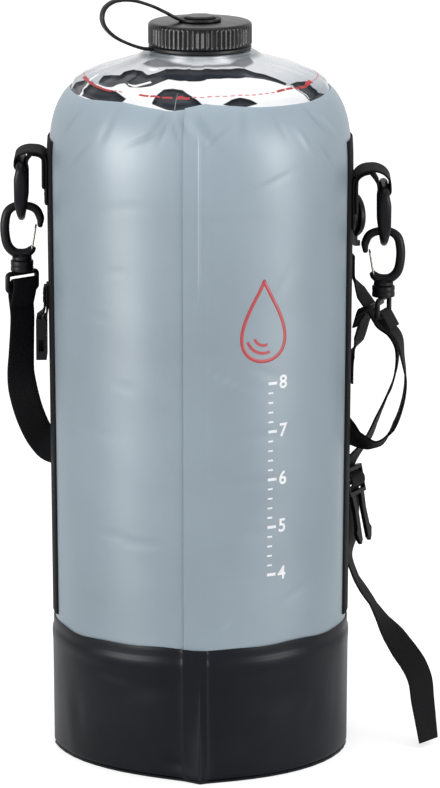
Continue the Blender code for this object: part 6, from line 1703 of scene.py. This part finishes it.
def only_seen(tree, seen, unseen):
    """Mix two shaders: the first for camera, glossy and transmission rays, the second for all others."""
    rays = put(tree, "LightPath").outputs
    total = rays["Is Camera Ray"]
    for kind in ("Is Glossy Ray", "Is Transmission Ray"):
        total = put(tree, "Math", {0: total, 1: rays[kind]}, operation="MAXIMUM")
    return put(tree, "MixShader", {0: total, 1: unseen, 2: seen})


CAMERA_AWAY, CAMERA_RISE_DEG, CAMERA_AIM = 3.631, 12.33, (0.0133, 0.0, 0.2442)
FLOOR_Z, FLOOR_RADII, FLOOR_GLOW, WHITE = -0.0002, (0.2, 0.6, 2.0, 12.0), 0.55, (1.0, 1.0, 1.0)
# Power of the surroundings where rays of the camera and mirrors meet them, and elsewhere
SEEN_POWER, FILL_POWER = 1.0, 0.7
# Tall lamps that give the two soft bands of shine: name, angle, distance, height, width, length, power
STRIP_LIGHTS = (("left_low", -147.0, 3.5, 0.24, 1.5, 0.44, 120.0), ("left_high", -147.0, 3.5, 1.05, 1.5, 1.15, 110.0),
                ("right_low", -29.0, 3.5, 0.24, 1.1, 0.44, 76.0), ("right_high", -29.0, 3.5, 1.05, 1.1, 1.15, 72.0))


class BAG_OT_stage(bpy.types.Operator):
    """Pale floor, white surroundings, soft lights and the camera"""

    bl_idname = "bag.stage"
    bl_label = "Stage"

    def execute(self, context):
        scene = context.scene
        scene.view_settings.view_transform = "Standard"
        turn = np.linspace(0.0, 2.0 * math.pi, 65)[:-1]
        rings = np.stack([np.stack([r * np.cos(turn), r * np.sin(turn), np.full_like(turn, FLOOR_Z)], axis=-1)
                          for r in FLOOR_RADII])
        faces = grid_quads(len(FLOOR_RADII), len(turn), False, True)[:, ::-1].tolist() + [list(range(len(turn)))]
        mesh = bpy.data.meshes.new("floor")
        mesh.from_pydata(rings.reshape(-1, 3).tolist(), [], faces)
        floor = bpy.data.objects.new("floor", mesh)
        scene.collection.objects.link(floor)
        mat = bpy.data.materials.new("studio_floor")
        mat.use_nodes = True
        tree = mat.node_tree
        tree.nodes.clear()
        matt = put(tree, "BsdfDiffuse", {"Color": toned(scene.bag_colours.floor)})
        glow = put(tree, "Emission", {"Color": toned(WHITE), "Strength": FLOOR_GLOW})
        lit = put(tree, "AddShader", {0: matt, 1: glow})
        put(tree, "OutputMaterial", {"Surface": only_seen(tree, lit, matt)})
        mesh.materials.append(mat)

        world = bpy.data.worlds.new("studio")
        world.use_nodes = True
        tree = world.node_tree
        tree.nodes.clear()
        white, fill = (put(tree, "Background", {"Color": toned(WHITE), "Strength": power})
                       for power in (SEEN_POWER, FILL_POWER))
        put(tree, "OutputWorld", {"Surface": only_seen(tree, white, fill)})
        scene.world = world

        for name, deg, away, level, width, height, power in STRIP_LIGHTS:
            turn = math.radians(deg)
            place = (away * math.cos(turn), away * math.sin(turn), level)
            lamp = area_light(name, place, (0.0, 0.0, 0.28), width, height, power)
            lamp.visible_diffuse = lamp.visible_camera = False
        area_light("front_fill", (0.0, -2.6, 1.1), (0.0, 0.0, 0.25), 1.6, 1.2, 15.0).visible_glossy = False
        area_light("overhead", (0.0, -0.15, 1.75), (0.0, 0.0, 0.4), 1.2, 0.8, 6.0)

        lens = bpy.data.cameras.new("camera")
        lens.sensor_width = 36.0
        lens.lens = scene.bag_sizes.lens
        lens.clip_start, lens.clip_end = 0.1, 60.0
        camera = bpy.data.objects.new("camera", lens)
        rise = math.radians(CAMERA_RISE_DEG)
        camera.location = (CAMERA_AIM[0], -CAMERA_AWAY * math.cos(rise), CAMERA_AIM[2] + CAMERA_AWAY * math.sin(rise))
        camera.rotation_euler = (math.pi / 2 - rise, 0.0, 0.0)
        scene.collection.objects.link(camera)
        scene.camera = camera
        return {"FINISHED"}


MAKERS = (BAG_OT_walls, BAG_OT_dome, BAG_OT_base, BAG_OT_side_strips, BAG_OT_neck, BAG_OT_cap, BAG_OT_tether,
          BAG_OT_loops, BAG_OT_rings, BAG_OT_hooks, BAG_OT_shoulder_strap, BAG_OT_adjusting_straps,
          BAG_OT_fittings, BAG_OT_print, BAG_OT_stitching, BAG_OT_stage)


class BAG_PT_panel(bpy.types.Panel):
    """Lists the bag's settings and the operators that make its pieces"""

    bl_label = "Camp shower bag"
    bl_idname = "BAG_PT_panel"
    bl_space_type = "VIEW_3D"
    bl_region_type = "UI"
    bl_category = "Bag"

    def draw(self, context):
        for group in (context.scene.bag_sizes, context.scene.bag_colours):
            for name in group.__annotations__:
                self.layout.prop(group, name)
        for maker in MAKERS:
            self.layout.operator(maker.bl_idname)


CLASSES = (BagColours, BagSizes) + MAKERS + (BAG_PT_panel,)


def register():
    for cls in CLASSES:
        bpy.utils.register_class(cls)
    bpy.types.Scene.bag_colours = bpy.props.PointerProperty(type=BagColours)
    bpy.types.Scene.bag_sizes = bpy.props.PointerProperty(type=BagSizes)


def unregister():
    del bpy.types.Scene.bag_colours
    del bpy.types.Scene.bag_sizes
    for cls in reversed(CLASSES):
        bpy.utils.unregister_class(cls)


def main():
    register()
    for maker in MAKERS:
        group, name = maker.bl_idname.split(".")
        if getattr(getattr(bpy.ops, group), name)() != {"FINISHED"}:
            raise RuntimeError(f"{maker.bl_label} wasn't made")


if __name__ == "__main__":
    main()
